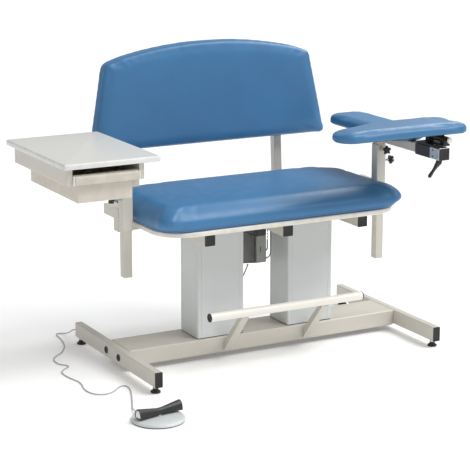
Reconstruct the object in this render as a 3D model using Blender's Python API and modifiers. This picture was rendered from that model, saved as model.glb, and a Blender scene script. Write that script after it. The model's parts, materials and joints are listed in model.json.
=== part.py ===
"""Extra-wide powered blood-drawing chair.

A steel H-base on levelling feet carries two telescopic lifting columns. They raise a wide
upholstered seat and back. The left arm is a tray with a drawer, the right arm is a side pad
with a second pad that swivels and flips up. A corded rocker foot switch lies on the floor.

Units are metres, +Z is up and the front of the chair faces -Y. Pieces are placed in a chair
frame centred between the columns, with the floor at z = 0. The whole model is then moved so
that the origin is at the middle of its footprint.
"""
import bpy
import bmesh
from math import cos, pi, radians, sin, sqrt
from mathutils import Vector

# ---------------------------------------------------------------- driving dimensions
GAP = 0.0003                        # clearance between pieces that touch

BASE_HALF_WIDTH = 0.600
LEG_WIDTH, LEG_HEIGHT, LEG_LENGTH = 0.030, 0.057, 0.706
LEG_BOTTOM = 0.024
LEG_TOP = LEG_BOTTOM + LEG_HEIGHT
LEG_X = BASE_HALF_WIDTH - LEG_WIDTH / 2
LEG_FRONT = -LEG_LENGTH / 2
FOOT_RADIUS, FOOT_DISC = 0.018, 0.011          # levelling foot: pad radius and height
FOOT_NECK_RADIUS, FOOT_NECK_TOP = 0.0105, 0.02225
STUD_RADIUS, STUD_TOP = 0.0050, 0.036
FOOT_HOLE_RADIUS = 0.0055
FOOT_INSET = 0.026                  # levelling foot centre from the leg's end
PLUG_HOLE_RADIUS, PLUG_HOLE_Z = 0.0118, 0.0515  # plug holes in the left leg's outer face
PLUG_HOLE_Y = (-0.048, 0.060)
CHANNEL_FRONT, CHANNEL_REAR = -0.081, 0.085
CHANNEL_BOTTOM = 0.021
STEEL = 0.003                       # sheet and tube wall

COLUMN_X = 0.1915
COLUMN_WIDTH, COLUMN_DEPTH = 0.194, 0.142
COLUMN_TOP = 0.516
INNER_WIDTH, INNER_DEPTH, INNER_TOP, INNER_WALL = 0.176, 0.124, 0.500, 0.004
MOTOR_RADIUS, MOTOR_BOTTOM, MOTOR_TOP = 0.040, 0.0825, 0.2075
ROD_RADIUS, ROD_TOP = 0.020, 0.475

BAR_RADIUS, BAR_LENGTH = 0.016, 0.640
BAR_Y, BAR_Z = -0.2325, 0.2104
BRACE_X, BRACE_WIDTH = 0.170, 0.030
BRACE_FOOT = (0.026, 0.062)         # lower and upper edge of a brace where it meets the channel
BRACE_TIP = (-0.025, 0.005)         # the same at the bar, from the bar's centre
BRACE_CUP = 0.010                   # how far behind the bar's centre a brace ends

TUBE = 0.040                        # square seat tube
TUBE_X = 0.320
TUBE_BOTTOM, TUBE_TOP = 0.477, 0.5165
TUBE_FRONT, TUBE_REAR = -0.233, 0.394
BOARD_BOTTOM, BOARD_TOP = 0.517, 0.535
SEAT_HALF_WIDTH, SEAT_FRONT, SEAT_REAR = 0.511, -0.248, 0.292
SEAT_TOP = 0.618
SEAT_FRONT_RADIUS, SEAT_REAR_RADIUS = 0.060, 0.150
BOARD_FRONT_RADIUS, BOARD_REAR_RADIUS = 0.125, 0.145
SEAT_EDGE, BACK_EDGE, PAD_EDGE = 0.022, 0.012, 0.011    # rounded cushion edges
BOARD_INSET = 0.010                 # the seat board stands in from the cushion's sides

RECLINE = radians(3.5)
BACK_BOTTOM, BACK_FRONT = 0.728, 0.345
BACK_HALF_BOTTOM, BACK_HALF_TOP = 0.510, 0.445
BACK_SIDE_HEIGHT, BACK_ARCH = 0.338, 0.060
BACK_CORNER, BACK_SHOULDER = 0.030, 0.034       # lower and upper corner radii
BACK_ARCH_SPAN = 0.84               # share of the top's width that the arch's points cover
BACK_CUSHION, BACK_BOARD, BACK_BOARD_INSET = 0.054, 0.012, 0.008
POST = 0.033                        # square back post
POST_LENGTH = 0.480

ARM_X = 0.540                       # both arm posts
ARM_Y = 0.0035
SLEEVE, SLEEVE_WALL = 0.040, 0.0025
SLEEVE_BOTTOM, SLEEVE_TOP = 0.508, 0.735
ARM_POST = 0.034
ARM_POST_LENGTH = 0.469
RAIL_BOTTOM, RAIL_TOP, RAIL_REAR = 0.546, 0.584, 0.152
GUSSET, CROSS_ARM_FRONT = 0.006, 0.112          # gusset thickness; front face of the cross arm
ARM_POST_WALL = 0.0025

BOX_WIDTH, BOX_TOP = 0.042, 0.4765   # control box: its underside slopes down to the rear
BOX_FRONT, BOX_FRONT_BOTTOM = -0.036, 0.332
BOX_REAR, BOX_REAR_BOTTOM = 0.110, 0.296
LEAD_RADIUS = 0.0025
LEAD_ROUTE_LEFT = (
    (-0.008, 0.0586, 0.3050), (-0.0090, 0.0586, 0.3000), (-0.0129, 0.0590, 0.2900),
    (-0.0182, 0.0600, 0.2780), (-0.0260, 0.0600, 0.2640), (-0.0400, 0.0580, 0.2510),
    (-0.0600, 0.0540, 0.2430), (-0.0800, 0.0500, 0.2410), (-0.0938, 0.0500, 0.2410),
)
LEAD_ROUTE_RIGHT = (
    (0.0217, -0.0286, 0.3465), (0.0270, -0.0286, 0.3465), (0.0335, -0.0286, 0.3490),
    (0.0390, -0.0286, 0.3545), (0.0420, -0.0286, 0.3630), (0.0428, -0.0286, 0.3750),
    (0.0424, -0.0286, 0.4200), (0.0424, -0.0280, 0.4520), (0.0470, -0.0240, 0.4730),
    (0.0570, -0.0160, 0.4850), (0.0730, -0.0110, 0.4910), (0.0938, -0.0100, 0.4920),
)

TRAY = (-0.878, -0.514, -0.246, 0.299)          # x low, x high, y low, y high
TRAY_BOTTOM, TRAY_TOP = 0.805, 0.825
CABINET = (-0.863, -0.570, -0.226, 0.255)
CABINET_BOTTOM = 0.745
CABINET_RAIL = (-0.598, -0.5612, -0.166, 0.200)
CABINET_RAIL_BOTTOM = 0.706
CAVITY = (-0.840, -0.590, -0.300, 0.243)
LEDGE = 0.009                       # runner ledge under the drawer rim
TUB = (-0.818, -0.612, -0.214, 0.215)
TUB_BOTTOM, TUB_TOP = 0.680, 0.7535
TUB_WALL, RIM_THICKNESS = 0.003, 0.0025
PULL = (-0.835, -0.596, -0.241, -0.2145)
PULL_BOTTOM, PULL_TOP = 0.7475, 0.782

ARM_TUBE = 0.035
ARM_TUBE_BOTTOM = 0.748
ARM_TUBE_TOP = ARM_TUBE_BOTTOM + ARM_TUBE
ARM_TUBE_FRONT, ARM_TUBE_REAR = -0.4345, 0.160
COLLAR = 0.0448                     # outer size of the collar and the clamp block
COLLAR_REAR, COLLAR_FRONT = -0.277, -0.3730
SWIVEL_Y = -0.404
HINGE_X, HINGE_Z = 0.5695, 0.8128
HINGE_REAR, HINGE_FRONT = -0.287, -0.405
PAD_THICKNESS = 0.040
SIDE_PAD_BOTTOM = 0.7835
SIDE_PAD = (0.452, 0.622, -0.242, 0.284)
FLIP_PAD_BOTTOM = 0.838
FLIP_PAD = (                        # corners (x, y, radius); its inner end tapers
    (0.104, -0.446, 0.062), (0.648, -0.446, 0.036), (0.648, -0.243, 0.070),
    (0.335, -0.243, 0.280), (0.104, -0.338, 0.060),
)
PLATE_LEFT, PLATE_RIGHT, PLATE = 0.5176, 0.5860, 0.007          # swivel plate
LEAF_LEFT, LEAF_RIGHT, LEAF = 0.5050, 0.6400, 0.006             # hinge leaf under the pad
EAR, EAR_RADIUS, KNUCKLE_RADIUS = 0.022, 0.012, 0.0105
RING_KNOB_RADIUS, RING_KNOB_LENGTH, RING_KNOB_STEM = 0.0115, 0.012, 0.016
HUB_RADIUS, HUB_HEIGHT = 0.011, 0.016
LEVER, LEVER_WIDTH, LEVER_DEPTH = 0.092, 0.012, 0.014
LEVER_SLOPE = radians(42)

KNOB_RADIUS, KNOB_LENGTH, KNOB_STEM = 0.018, 0.015, 0.029
KNOB_STEM_RADIUS = 0.005
KNOB_HEIGHTS = {"left_rear": 0.675, "left_side": 0.628, "right_front": 0.717,
                "right_side": 0.668}

SWITCH_X, SWITCH_Y, SWITCH_RADIUS = -0.701, -0.590, 0.0915
SWITCH_TOP = 0.014
PEDAL_YAW = radians(9.3)
PEDAL_HALF, PEDAL_END, PEDAL_WAIST = 0.086, 0.0185, 0.0115
PEDAL_BOTTOM = 0.0195
PEDAL_RISE = 1.75                   # the saddle's height over its half width
SOCKET = ((-0.7455, -0.5170, 0.0030), (-0.7335, -0.4950, 0.0128))   # where the cord enters

CORD_RADIUS = 0.00225
CORD_EXIT = (-0.585, 0.3771, 0.0395)    # tip of the strain relief
CORD_ROUTE = (
    (-0.585, 0.3777, 0.0395), (-0.585, 0.390, 0.0393), (-0.5865, 0.410, 0.0330),
    (-0.589, 0.436, 0.0180),
    (-0.595, 0.462, 0.0070), (-0.606, 0.484, 0.0023), (-0.621, 0.486, 0.0023),
    (-0.630, 0.462, 0.0023), (-0.634, 0.420, 0.0023), (-0.647, 0.355, 0.0023),
    (-0.670, 0.298, 0.0023), (-0.702, 0.250, 0.0023), (-0.740, 0.214, 0.0023),
    (-0.762, 0.174, 0.0023), (-0.762, 0.126, 0.0023), (-0.744, 0.100, 0.0023),
    (-0.744, 0.079, 0.0023), (-0.764, 0.064, 0.0023), (-0.784, 0.042, 0.0023),
    (-0.794, 0.008, 0.0023), (-0.790, -0.044, 0.0023), (-0.780, -0.092, 0.0023),
    (-0.782, -0.130, 0.0023), (-0.792, -0.172, 0.0023), (-0.794, -0.214, 0.0023),
    (-0.782, -0.250, 0.0023), (-0.752, -0.269, 0.0023), (-0.716, -0.257, 0.0023),
    (-0.680, -0.224, 0.0023), (-0.657, -0.213, 0.0023), (-0.648, -0.234, 0.0023),
    (-0.661, -0.285, 0.0023), (-0.687, -0.350, 0.0023), (-0.711, -0.405, 0.0023),
    (-0.728, -0.443, 0.0028), (-0.7375, -0.470, 0.0058), (-0.7395, -0.4946, 0.0080),
)

# colour, roughness, metallic
MATERIALS = {
    "frame_paint": ((0.52, 0.50, 0.45), 0.42, 0.0),
    "column_paint": ((0.63, 0.65, 0.64), 0.38, 0.0),
    "bar_paint": ((0.78, 0.74, 0.67), 0.35, 0.0),
    "black_plastic": ((0.015, 0.015, 0.016), 0.5, 0.0),
    "blue_vinyl": ((0.065, 0.180, 0.380), 0.45, 0.0),
    "board_laminate": ((0.72, 0.69, 0.63), 0.5, 0.0),
    "tray_laminate": ((0.66, 0.66, 0.63), 0.4, 0.0),
    "drawer_plastic": ((0.60, 0.55, 0.48), 0.45, 0.0),
    "aluminium": ((0.60, 0.60, 0.60), 0.35, 1.0),
    "switch_plastic": ((0.62, 0.64, 0.64), 0.4, 0.0),
    "box_plastic": ((0.10, 0.10, 0.09), 0.5, 0.0),
    "grey_rubber": ((0.45, 0.45, 0.44), 0.6, 0.0),
}


# ---------------------------------------------------------------- scene set-up
for old in list(bpy.data.objects):
    bpy.data.objects.remove(old)
PARTS = bpy.data.collections.new("blood_drawing_chair")
CUTTERS = bpy.data.collections.new("cutters")
bpy.context.scene.collection.children.link(PARTS)
bpy.context.scene.collection.children.link(CUTTERS)
FRAMES = {}                         # a parent empty for each moving body
COLOURS = {}


def material(name):
    if name not in COLOURS:
        colour, roughness, metallic = MATERIALS[name]
        made = bpy.data.materials.new(name)
        made.use_nodes = True
        shader = made.node_tree.nodes["Principled BSDF"]
        shader.inputs["Base Color"].default_value = (*colour, 1)
        shader.inputs["Roughness"].default_value = roughness
        shader.inputs["Metallic"].default_value = metallic
        COLOURS[name] = made
    return COLOURS[name]


def frame(body, location, parent=None):
    """Make the empty that a body's pieces hang on, at its joint."""
    empty = bpy.data.objects.new(body + "_frame", None)
    PARTS.objects.link(empty)
    empty.empty_display_size = 0.03
    origin = Vector(location)
    if parent:
        empty.parent = FRAMES[parent][0]
        origin -= FRAMES[parent][1]
    empty.location = origin
    FRAMES[body] = (empty, Vector(location))


def add(name, data, body, finish, location=(0, 0, 0), rotation=(0, 0, 0)):
    """Put a mesh or curve in the chair frame, parented to its body's empty."""
    piece = bpy.data.objects.new(name, data)
    PARTS.objects.link(piece)
    empty, origin = FRAMES[body]
    piece.parent = empty
    piece.location = Vector(location) - origin
    piece.rotation_euler = rotation
    data.materials.append(material(finish))
    return piece


# ---------------------------------------------------------------- shape helpers
def box_mesh(name, size):
    mesh = bpy.data.meshes.new(name)
    shape = bmesh.new()
    bmesh.ops.create_cube(shape, size=1.0)
    bmesh.ops.scale(shape, vec=size, verts=shape.verts)
    shape.to_mesh(mesh)
    shape.free()
    return mesh


def bevel(piece, width, segments=1, angle=60):
    edge = piece.modifiers.new("Edges", "BEVEL")
    edge.width = width
    edge.segments = segments
    edge.limit_method = "ANGLE"
    edge.angle_limit = radians(angle)


def box(name, body, finish, low, high, edge=0.0, segments=1):
    """A box from its lowest to its highest corner, with bevelled edges."""
    low, high = Vector(low), Vector(high)
    piece = add(name, box_mesh(name, high - low), body, finish, (low + high) / 2)
    if edge:
        bevel(piece, edge, segments)
    return piece


def rod_mesh(name, radius, length, tip_radius=None, sides=24):
    """A cylinder or cone along Z, centred on its own origin."""
    mesh = bpy.data.meshes.new(name)
    shape = bmesh.new()
    tip = radius if tip_radius is None else tip_radius
    bmesh.ops.create_cone(shape, cap_ends=True, segments=sides, radius1=radius, radius2=tip,
                          depth=length)
    shape.to_mesh(mesh)
    shape.free()
    mesh.shade_smooth()
    mesh.set_sharp_from_angle(angle=radians(40))
    return mesh


ALONG = {"X": (0, pi / 2, 0), "Y": (-pi / 2, 0, 0), "-Y": (pi / 2, 0, 0), "Z": (0, 0, 0),
         "-X": (0, -pi / 2, 0)}


def rod(name, body, finish, centre, radius, length, axis="Z", tip_radius=None, sides=24):
    mesh = rod_mesh(name, radius, length, tip_radius, sides)
    return add(name, mesh, body, finish, centre, ALONG[axis])


def cutter(name, mesh, location, rotation=(0, 0, 0)):
    tool = bpy.data.objects.new(name, mesh)
    CUTTERS.objects.link(tool)
    tool.location = location
    tool.rotation_euler = rotation
    tool.hide_render = True
    tool.display_type = "WIRE"
    return tool


def combine(piece, tool, operation="DIFFERENCE"):
    """Cut a piece with a tool, or join the tool to it. Cutters share the chair frame."""
    step = piece.modifiers.new("Boolean", "BOOLEAN")
    step.operation = operation
    step.object = tool
    step.solver = "EXACT"


def box_tool(name, low, high):
    low, high = Vector(low), Vector(high)
    return cutter(name, box_mesh(name, high - low), (low + high) / 2)


def rod_tool(name, centre, radius, length, axis="Z", sides=32):
    return cutter(name, rod_mesh(name, radius, length, None, sides), centre, ALONG[axis])


def rounded(corners, steps=5):
    """Outline points with each corner (x, y, radius) turned into an arc."""
    points = []
    count = len(corners)
    for i, (x, y, radius) in enumerate(corners):
        here = Vector((x, y))
        before = (Vector(corners[i - 1][:2]) - here).normalized()
        after = (Vector(corners[(i + 1) % count][:2]) - here).normalized()
        if radius == 0:
            points.append((x, y))
            continue
        half = before.angle(after) / 2
        reach = radius / (sin(half) / cos(half))
        start, end = here + before * reach, here + after * reach
        centre = here + (before + after).normalized() * (radius / sin(half))
        turn = (start - centre).angle_signed(end - centre)
        for k in range(steps + 1):
            arm = start - centre
            angle = -turn * k / steps
            points.append((centre.x + arm.x * cos(angle) - arm.y * sin(angle),
                           centre.y + arm.x * sin(angle) + arm.y * cos(angle)))
    return points


def slab_mesh(name, points, thickness):
    """A flat outline made solid about its own plane, as a mesh that can be cut."""
    outline = bpy.data.curves.new(name, "CURVE")
    outline.dimensions = "2D"
    outline.fill_mode = "BOTH"
    outline.extrude = thickness / 2
    outline.render_resolution_u = 0
    spline = outline.splines.new("POLY")
    spline.points.add(len(points) - 1)
    for point, (x, y) in zip(spline.points, points):
        point.co = (x, y, 0, 1)
    spline.use_cyclic_u = True
    flat = bpy.data.objects.new(name + "_outline", outline)
    CUTTERS.objects.link(flat)
    ready = bpy.context.evaluated_depsgraph_get()
    mesh = bpy.data.meshes.new_from_object(flat.evaluated_get(ready))
    bpy.data.objects.remove(flat)
    shape = bmesh.new()
    shape.from_mesh(mesh)
    bmesh.ops.remove_doubles(shape, verts=shape.verts, dist=0.00002)
    shape.to_mesh(mesh)
    shape.free()
    return mesh


def slab(name, body, finish, points, thickness, location, rotation=(0, 0, 0), edge=0.0,
         segments=1):
    """A flat outline made solid: its middle plane passes through location."""
    piece = add(name, slab_mesh(name, points, thickness), body, finish, location, rotation)
    if edge:
        bevel(piece, edge, segments, 50)
    return piece


def rectangle(low_x, high_x, low_y, high_y, front=0.0, rear=0.0, steps=5):
    return rounded([(low_x, low_y, front), (high_x, low_y, front),
                    (high_x, high_y, rear), (low_x, high_y, rear)], steps)


def smooth_path(route, spacing):
    """Points at even spacing along a smooth curve through the route's points."""
    route = [Vector(point) for point in route]
    padded = [route[0] * 2 - route[1]] + route + [route[-1] * 2 - route[-2]]
    fine = []
    for i in range(1, len(padded) - 2):
        a, b, c, d = padded[i - 1:i + 3]
        for k in range(12):
            t = k / 12
            fine.append(0.5 * (2 * b + (c - a) * t + (2 * a - 5 * b + 4 * c - d) * t * t
                               + (3 * b - a - 3 * c + d) * t ** 3))
    fine.append(route[-1])
    total = sum((q - p).length for p, q in zip(fine, fine[1:]))
    count = max(2, round(total / spacing))
    points, walked, target = [fine[0]], 0.0, total / count
    for p, q in zip(fine, fine[1:]):
        step = (q - p).length
        while walked + step >= target and len(points) < count:
            points.append(p.lerp(q, (target - walked) / step))
            target += total / count
        walked += step
    points.append(fine[-1])
    return points


def wire(name, body, finish, route, radius, spacing):
    """A round cable through the route's points."""
    line = bpy.data.curves.new(name, "CURVE")
    line.dimensions = "3D"
    line.bevel_depth = radius
    line.bevel_resolution = 2
    line.use_fill_caps = True
    line.render_resolution_u = 0
    spline = line.splines.new("POLY")
    points = smooth_path(route, spacing)
    spline.points.add(len(points) - 1)
    for point, place in zip(spline.points, points):
        point.co = (*place, 1)
    return add(name, line, body, finish)


def star_outline(radius, lobes=5, steps=40):
    return [(radius * (0.80 + 0.20 * cos(lobes * a)) * cos(a),
             radius * (0.80 + 0.20 * cos(lobes * a)) * sin(a))
            for a in (2 * pi * k / steps for k in range(steps))]


SIDES = (("left", -1), ("right", 1))

# ---------------------------------------------------------------- bodies
LIFT = (0, 0, TUBE_BOTTOM)
PEDAL_PIVOT = (SWITCH_X + 0.006, SWITCH_Y + 0.007, PEDAL_BOTTOM + 0.002)
FEET = {(side, end): (sign * LEG_X, way * (LEG_LENGTH / 2 - FOOT_INSET), 0)
        for side, sign in SIDES for end, way in (("front", -1), ("rear", 1))}
SLEEVE_FRONT, SLEEVE_REAR = ARM_Y - SLEEVE / 2, ARM_Y + SLEEVE / 2
KNOBS = {
    "knob_left_rear": ((-ARM_X, SLEEVE_REAR + GAP, KNOB_HEIGHTS["left_rear"]), "Y"),
    "knob_left_side": ((-ARM_X - SLEEVE / 2 - GAP, ARM_Y, KNOB_HEIGHTS["left_side"]),
                       "-X"),
    "knob_right_front": ((ARM_X, SLEEVE_FRONT - GAP, KNOB_HEIGHTS["right_front"]), "-Y"),
    "knob_right_side": ((ARM_X + SLEEVE / 2 + GAP, ARM_Y, KNOB_HEIGHTS["right_side"]),
                        "X"),
}
frame("base", (0, 0, 0))
frame("seat", LIFT, "base")
frame("pedal", PEDAL_PIVOT, "base")
for (side, end), place in FEET.items():
    frame("foot_" + end + "_" + side, place, "base")
frame("left_arm", (-ARM_X, ARM_Y, SLEEVE_TOP), "seat")
frame("drawer", (sum(TUB[:2]) / 2, TUB[2], TUB_TOP), "left_arm")
frame("right_arm", (ARM_X, ARM_Y, SLEEVE_TOP), "seat")
frame("swivel", (ARM_X, SWIVEL_Y, HINGE_Z), "right_arm")
frame("flip", (HINGE_X, (HINGE_FRONT + HINGE_REAR) / 2, HINGE_Z), "swivel")
frame("plunger", (HINGE_X, HINGE_FRONT, HINGE_Z), "swivel")
frame("lever", (ARM_X, SWIVEL_Y, ARM_TUBE_BOTTOM - 0.012), "right_arm")
for name, (place, axis) in KNOBS.items():
    frame(name, place, "seat")


# ---------------------------------------------------------------- base
def build_legs():
    for side, sign in SIDES:
        x = sign * LEG_X
        half = LEG_WIDTH / 2
        leg = box("leg_" + side, "base", "frame_paint", (x - half, LEG_FRONT, LEG_BOTTOM),
                  (x + half, -LEG_FRONT, LEG_TOP), 0.003)
        hollow = box_tool("leg_hollow_" + side, (x - half + STEEL, LEG_FRONT - 0.01,
                                                 LEG_BOTTOM + STEEL),
                          (x + half - STEEL, -LEG_FRONT - STEEL, LEG_TOP - STEEL))
        combine(leg, hollow)
        cap = box("leg_cap_" + side, "base", "black_plastic",
                  (x - half + 0.0005, LEG_FRONT - 0.004, LEG_BOTTOM + 0.0005),
                  (x + half - 0.0005, LEG_FRONT - GAP, LEG_TOP - 0.0005), 0.0015)
        inset = STEEL + GAP
        plug = box_tool("leg_cap_plug_" + side, (x - half + inset, LEG_FRONT - 0.002,
                                                 LEG_BOTTOM + inset),
                        (x + half - inset, LEG_FRONT + 0.012, LEG_TOP - inset))
        combine(cap, plug, "UNION")
        for end, way in (("front", -1), ("rear", 1)):
            y = way * (LEG_LENGTH / 2 - FOOT_INSET)
            combine(leg, rod_tool("foot_hole_" + side + end, (x, y, LEG_BOTTOM),
                                  FOOT_HOLE_RADIUS, 0.020, sides=16))
    left = -BASE_HALF_WIDTH
    for y in PLUG_HOLE_Y:
        hole = rod_tool("plug_hole", (left, y, PLUG_HOLE_Z), PLUG_HOLE_RADIUS, 0.020, "X", 24)
        combine(bpy.data.objects["leg_left"], hole)


def build_feet():
    for (side, end), (x, y, floor) in FEET.items():
        name = "foot_" + end + "_" + side
        foot = rod(name, name, "black_plastic", (x, y, FOOT_DISC / 2), FOOT_RADIUS, FOOT_DISC,
                   "Z", FOOT_RADIUS * 0.86, 20)
        low = FOOT_DISC / 2
        neck = rod_tool(name + "_neck", (x, y, (low + FOOT_NECK_TOP) / 2), FOOT_NECK_RADIUS,
                        FOOT_NECK_TOP - low, sides=16)
        stud = rod_tool(name + "_stud", (x, y, (low + STUD_TOP) / 2), STUD_RADIUS,
                        STUD_TOP - low, sides=12)
        combine(foot, neck, "UNION")
        combine(foot, stud, "UNION")


def build_channel():
    half = BASE_HALF_WIDTH - LEG_WIDTH - GAP
    channel = box("base_channel", "base", "frame_paint", (-half, CHANNEL_FRONT, CHANNEL_BOTTOM),
                  (half, CHANNEL_REAR, LEG_TOP), 0.003)
    combine(channel, box_tool("channel_hollow", (-half - 0.01, CHANNEL_FRONT + STEEL,
                                                 CHANNEL_BOTTOM - 0.01),
                              (half + 0.01, CHANNEL_REAR - STEEL, LEG_TOP - STEEL)))


def build_footrest():
    rod("footrest_bar", "base", "bar_paint", (0, BAR_Y, BAR_Z), BAR_RADIUS, BAR_LENGTH, "X",
        sides=28)
    foot_y = CHANNEL_FRONT - GAP
    near_y = BAR_Y + BRACE_CUP
    profile = [(foot_y, BRACE_FOOT[0]), (foot_y, BRACE_FOOT[1]), (near_y, BAR_Z + BRACE_TIP[1]),
               (near_y, BAR_Z + BRACE_TIP[0])]
    for side, sign in SIDES:
        brace = slab("footrest_brace_" + side, "base", "frame_paint", profile, BRACE_WIDTH,
                     (sign * BRACE_X, 0, 0), (pi / 2, 0, pi / 2), 0.002)
        combine(brace, rod_tool("bar_cut_" + side, (sign * BRACE_X, BAR_Y, BAR_Z),
                                BAR_RADIUS + GAP, 0.06, "X"))


def build_inner_columns():
    for side, sign in SIDES:
        x = sign * COLUMN_X
        bottom = LEG_TOP + GAP
        column = box("column_inner_" + side, "base", "aluminium",
                     (x - INNER_WIDTH / 2, -INNER_DEPTH / 2, bottom),
                     (x + INNER_WIDTH / 2, INNER_DEPTH / 2, INNER_TOP), 0.003)
        half_x, half_y = INNER_WIDTH / 2 - INNER_WALL, INNER_DEPTH / 2 - INNER_WALL
        combine(column, box_tool("column_core_" + side, (x - half_x, -half_y, LEG_BOTTOM),
                                 (x + half_x, half_y, INNER_TOP + 0.1)))
        actuator = rod("lift_actuator_" + side, "base", "black_plastic",
                       (x, 0, (MOTOR_BOTTOM + MOTOR_TOP) / 2), MOTOR_RADIUS,
                       MOTOR_TOP - MOTOR_BOTTOM, sides=20)
        low = MOTOR_TOP - 0.030
        combine(actuator, rod_tool("actuator_tube_" + side, (x, 0, (low + ROD_TOP) / 2),
                                   ROD_RADIUS, ROD_TOP - low, sides=20), "UNION")


def build_gland():
    face = LEG_LENGTH / 2 + GAP
    x, tip, z = CORD_EXIT
    gland = rod("cord_gland", "base", "black_plastic", (x, face + 0.003, z), 0.0075, 0.006, "Y",
                sides=16)
    start = face + 0.004
    relief = cutter("gland_relief", rod_mesh("relief", 0.0055, tip - start, 0.0034, 16),
                    (x, (start + tip) / 2, z), ALONG["Y"])
    combine(gland, relief, "UNION")


def build_foot_switch():
    switch = rod("foot_switch_base", "base", "switch_plastic", (SWITCH_X, SWITCH_Y, 0.007),
                 SWITCH_RADIUS, SWITCH_TOP, "Z", SWITCH_RADIUS - 0.004, 48)
    combine(switch, box_tool("cord_socket", *SOCKET), "UNION")
    stand = box_tool("pedal_stand", (-0.006, -0.008, -0.005), (0.006, 0.008, 0.0042))
    stand.location = (PEDAL_PIVOT[0], PEDAL_PIVOT[1], SWITCH_TOP)
    stand.rotation_euler = (0, 0, PEDAL_YAW)
    combine(switch, stand, "UNION")
    # the pedal: two half-cones that meet at the waist, lofted along X
    rings = [(-PEDAL_HALF, PEDAL_END), (0, PEDAL_WAIST), (PEDAL_HALF, PEDAL_END)]
    arc = 10
    shape = bmesh.new()
    loops = []
    for x, radius in rings:
        loops.append([shape.verts.new((x, -radius * cos(pi * k / arc),
                                       radius * PEDAL_RISE * sin(pi * k / arc)))
                      for k in range(arc + 1)])
    for first, second in zip(loops, loops[1:]):
        for k in range(arc + 1):
            j = (k + 1) % (arc + 1)
            shape.faces.new((first[k], first[j], second[j], second[k]))
    shape.faces.new(loops[0])
    shape.faces.new(loops[-1])
    bmesh.ops.recalc_face_normals(shape, faces=shape.faces)
    mesh = bpy.data.meshes.new("foot_pedal")
    shape.to_mesh(mesh)
    shape.free()
    add("foot_pedal", mesh, "pedal", "black_plastic",
        (PEDAL_PIVOT[0], PEDAL_PIVOT[1], PEDAL_BOTTOM), (0, 0, PEDAL_YAW))
    wire("foot_switch_cord", "base", "grey_rubber", CORD_ROUTE, CORD_RADIUS, 0.0225)


# ---------------------------------------------------------------- seat and lift
def build_columns():
    for side, sign in SIDES:
        x = sign * COLUMN_X
        cover = box("column_cover_" + side, "seat", "column_paint",
                    (x - COLUMN_WIDTH / 2, -COLUMN_DEPTH / 2, LEG_TOP + 0.002),
                    (x + COLUMN_WIDTH / 2, COLUMN_DEPTH / 2, COLUMN_TOP), 0.005, 2)
        combine(cover, box_tool("cover_core_" + side,
                                (x - COLUMN_WIDTH / 2 + STEEL, -COLUMN_DEPTH / 2 + STEEL,
                                 LEG_BOTTOM),
                                (x + COLUMN_WIDTH / 2 - STEEL, COLUMN_DEPTH / 2 - STEEL,
                                 COLUMN_TOP - STEEL)))


def square_tube(name, body, finish, low, high, wall, edge, ends):
    """A square tube along Y, cut open at the ends named in ends."""
    tube = box(name, body, finish, low, high, edge)
    front = low[1] - 0.01 if "front" in ends else low[1] + wall
    rear = high[1] + 0.01 if "rear" in ends else high[1] - wall
    combine(tube, box_tool(name + "_hollow", (low[0] + wall, front, low[2] + wall),
                           (high[0] - wall, rear, high[2] - wall)))
    return tube


def tube_cap(name, body, x, y, bottom, width, height, wall, way):
    """A black plug in the end of a tube that runs along Y; way is -1 at a front end."""
    half = width / 2
    faces = sorted((y + way * GAP, y + way * 0.0035))
    cap = box(name, body, "black_plastic", (x - half, faces[0], bottom),
              (x + half, faces[1], bottom + height), 0.001)
    inset = wall + GAP
    inside = sorted((y + way * 0.002, y - way * 0.010))
    combine(cap, box_tool(name + "_plug", (x - half + inset, inside[0], bottom + inset),
                          (x + half - inset, inside[1], bottom + height - inset)), "UNION")


def build_seat():
    half = TUBE / 2
    for label, x, rear in (("left", -TUBE_X, TUBE_REAR), ("middle", 0, SEAT_REAR - 0.020),
                           ("right", TUBE_X, TUBE_REAR)):
        square_tube("seat_tube_" + label, "seat", "frame_paint",
                    (x - half, TUBE_FRONT, TUBE_BOTTOM), (x + half, rear, TUBE_TOP), STEEL,
                    0.002, ("front",))
        tube_cap("seat_tube_cap_" + label, "seat", x, TUBE_FRONT, TUBE_BOTTOM, TUBE,
                 TUBE_TOP - TUBE_BOTTOM, STEEL, -1)
    board_half = SEAT_HALF_WIDTH - BOARD_INSET
    board = rectangle(-board_half, board_half, SEAT_FRONT + BOARD_INSET / 2,
                      SEAT_REAR - BOARD_INSET, BOARD_FRONT_RADIUS, BOARD_REAR_RADIUS, 7)
    slab("seat_board", "seat", "board_laminate", board, BOARD_TOP - BOARD_BOTTOM,
         (0, 0, (BOARD_TOP + BOARD_BOTTOM) / 2), edge=0.003)
    cushion = rectangle(-SEAT_HALF_WIDTH, SEAT_HALF_WIDTH, SEAT_FRONT, SEAT_REAR,
                        SEAT_FRONT_RADIUS, SEAT_REAR_RADIUS, 7)
    slab("seat_cushion", "seat", "blue_vinyl", cushion, SEAT_TOP - BOARD_TOP - GAP,
         (0, 0, (SEAT_TOP + BOARD_TOP + GAP) / 2), edge=SEAT_EDGE, segments=2)


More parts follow.
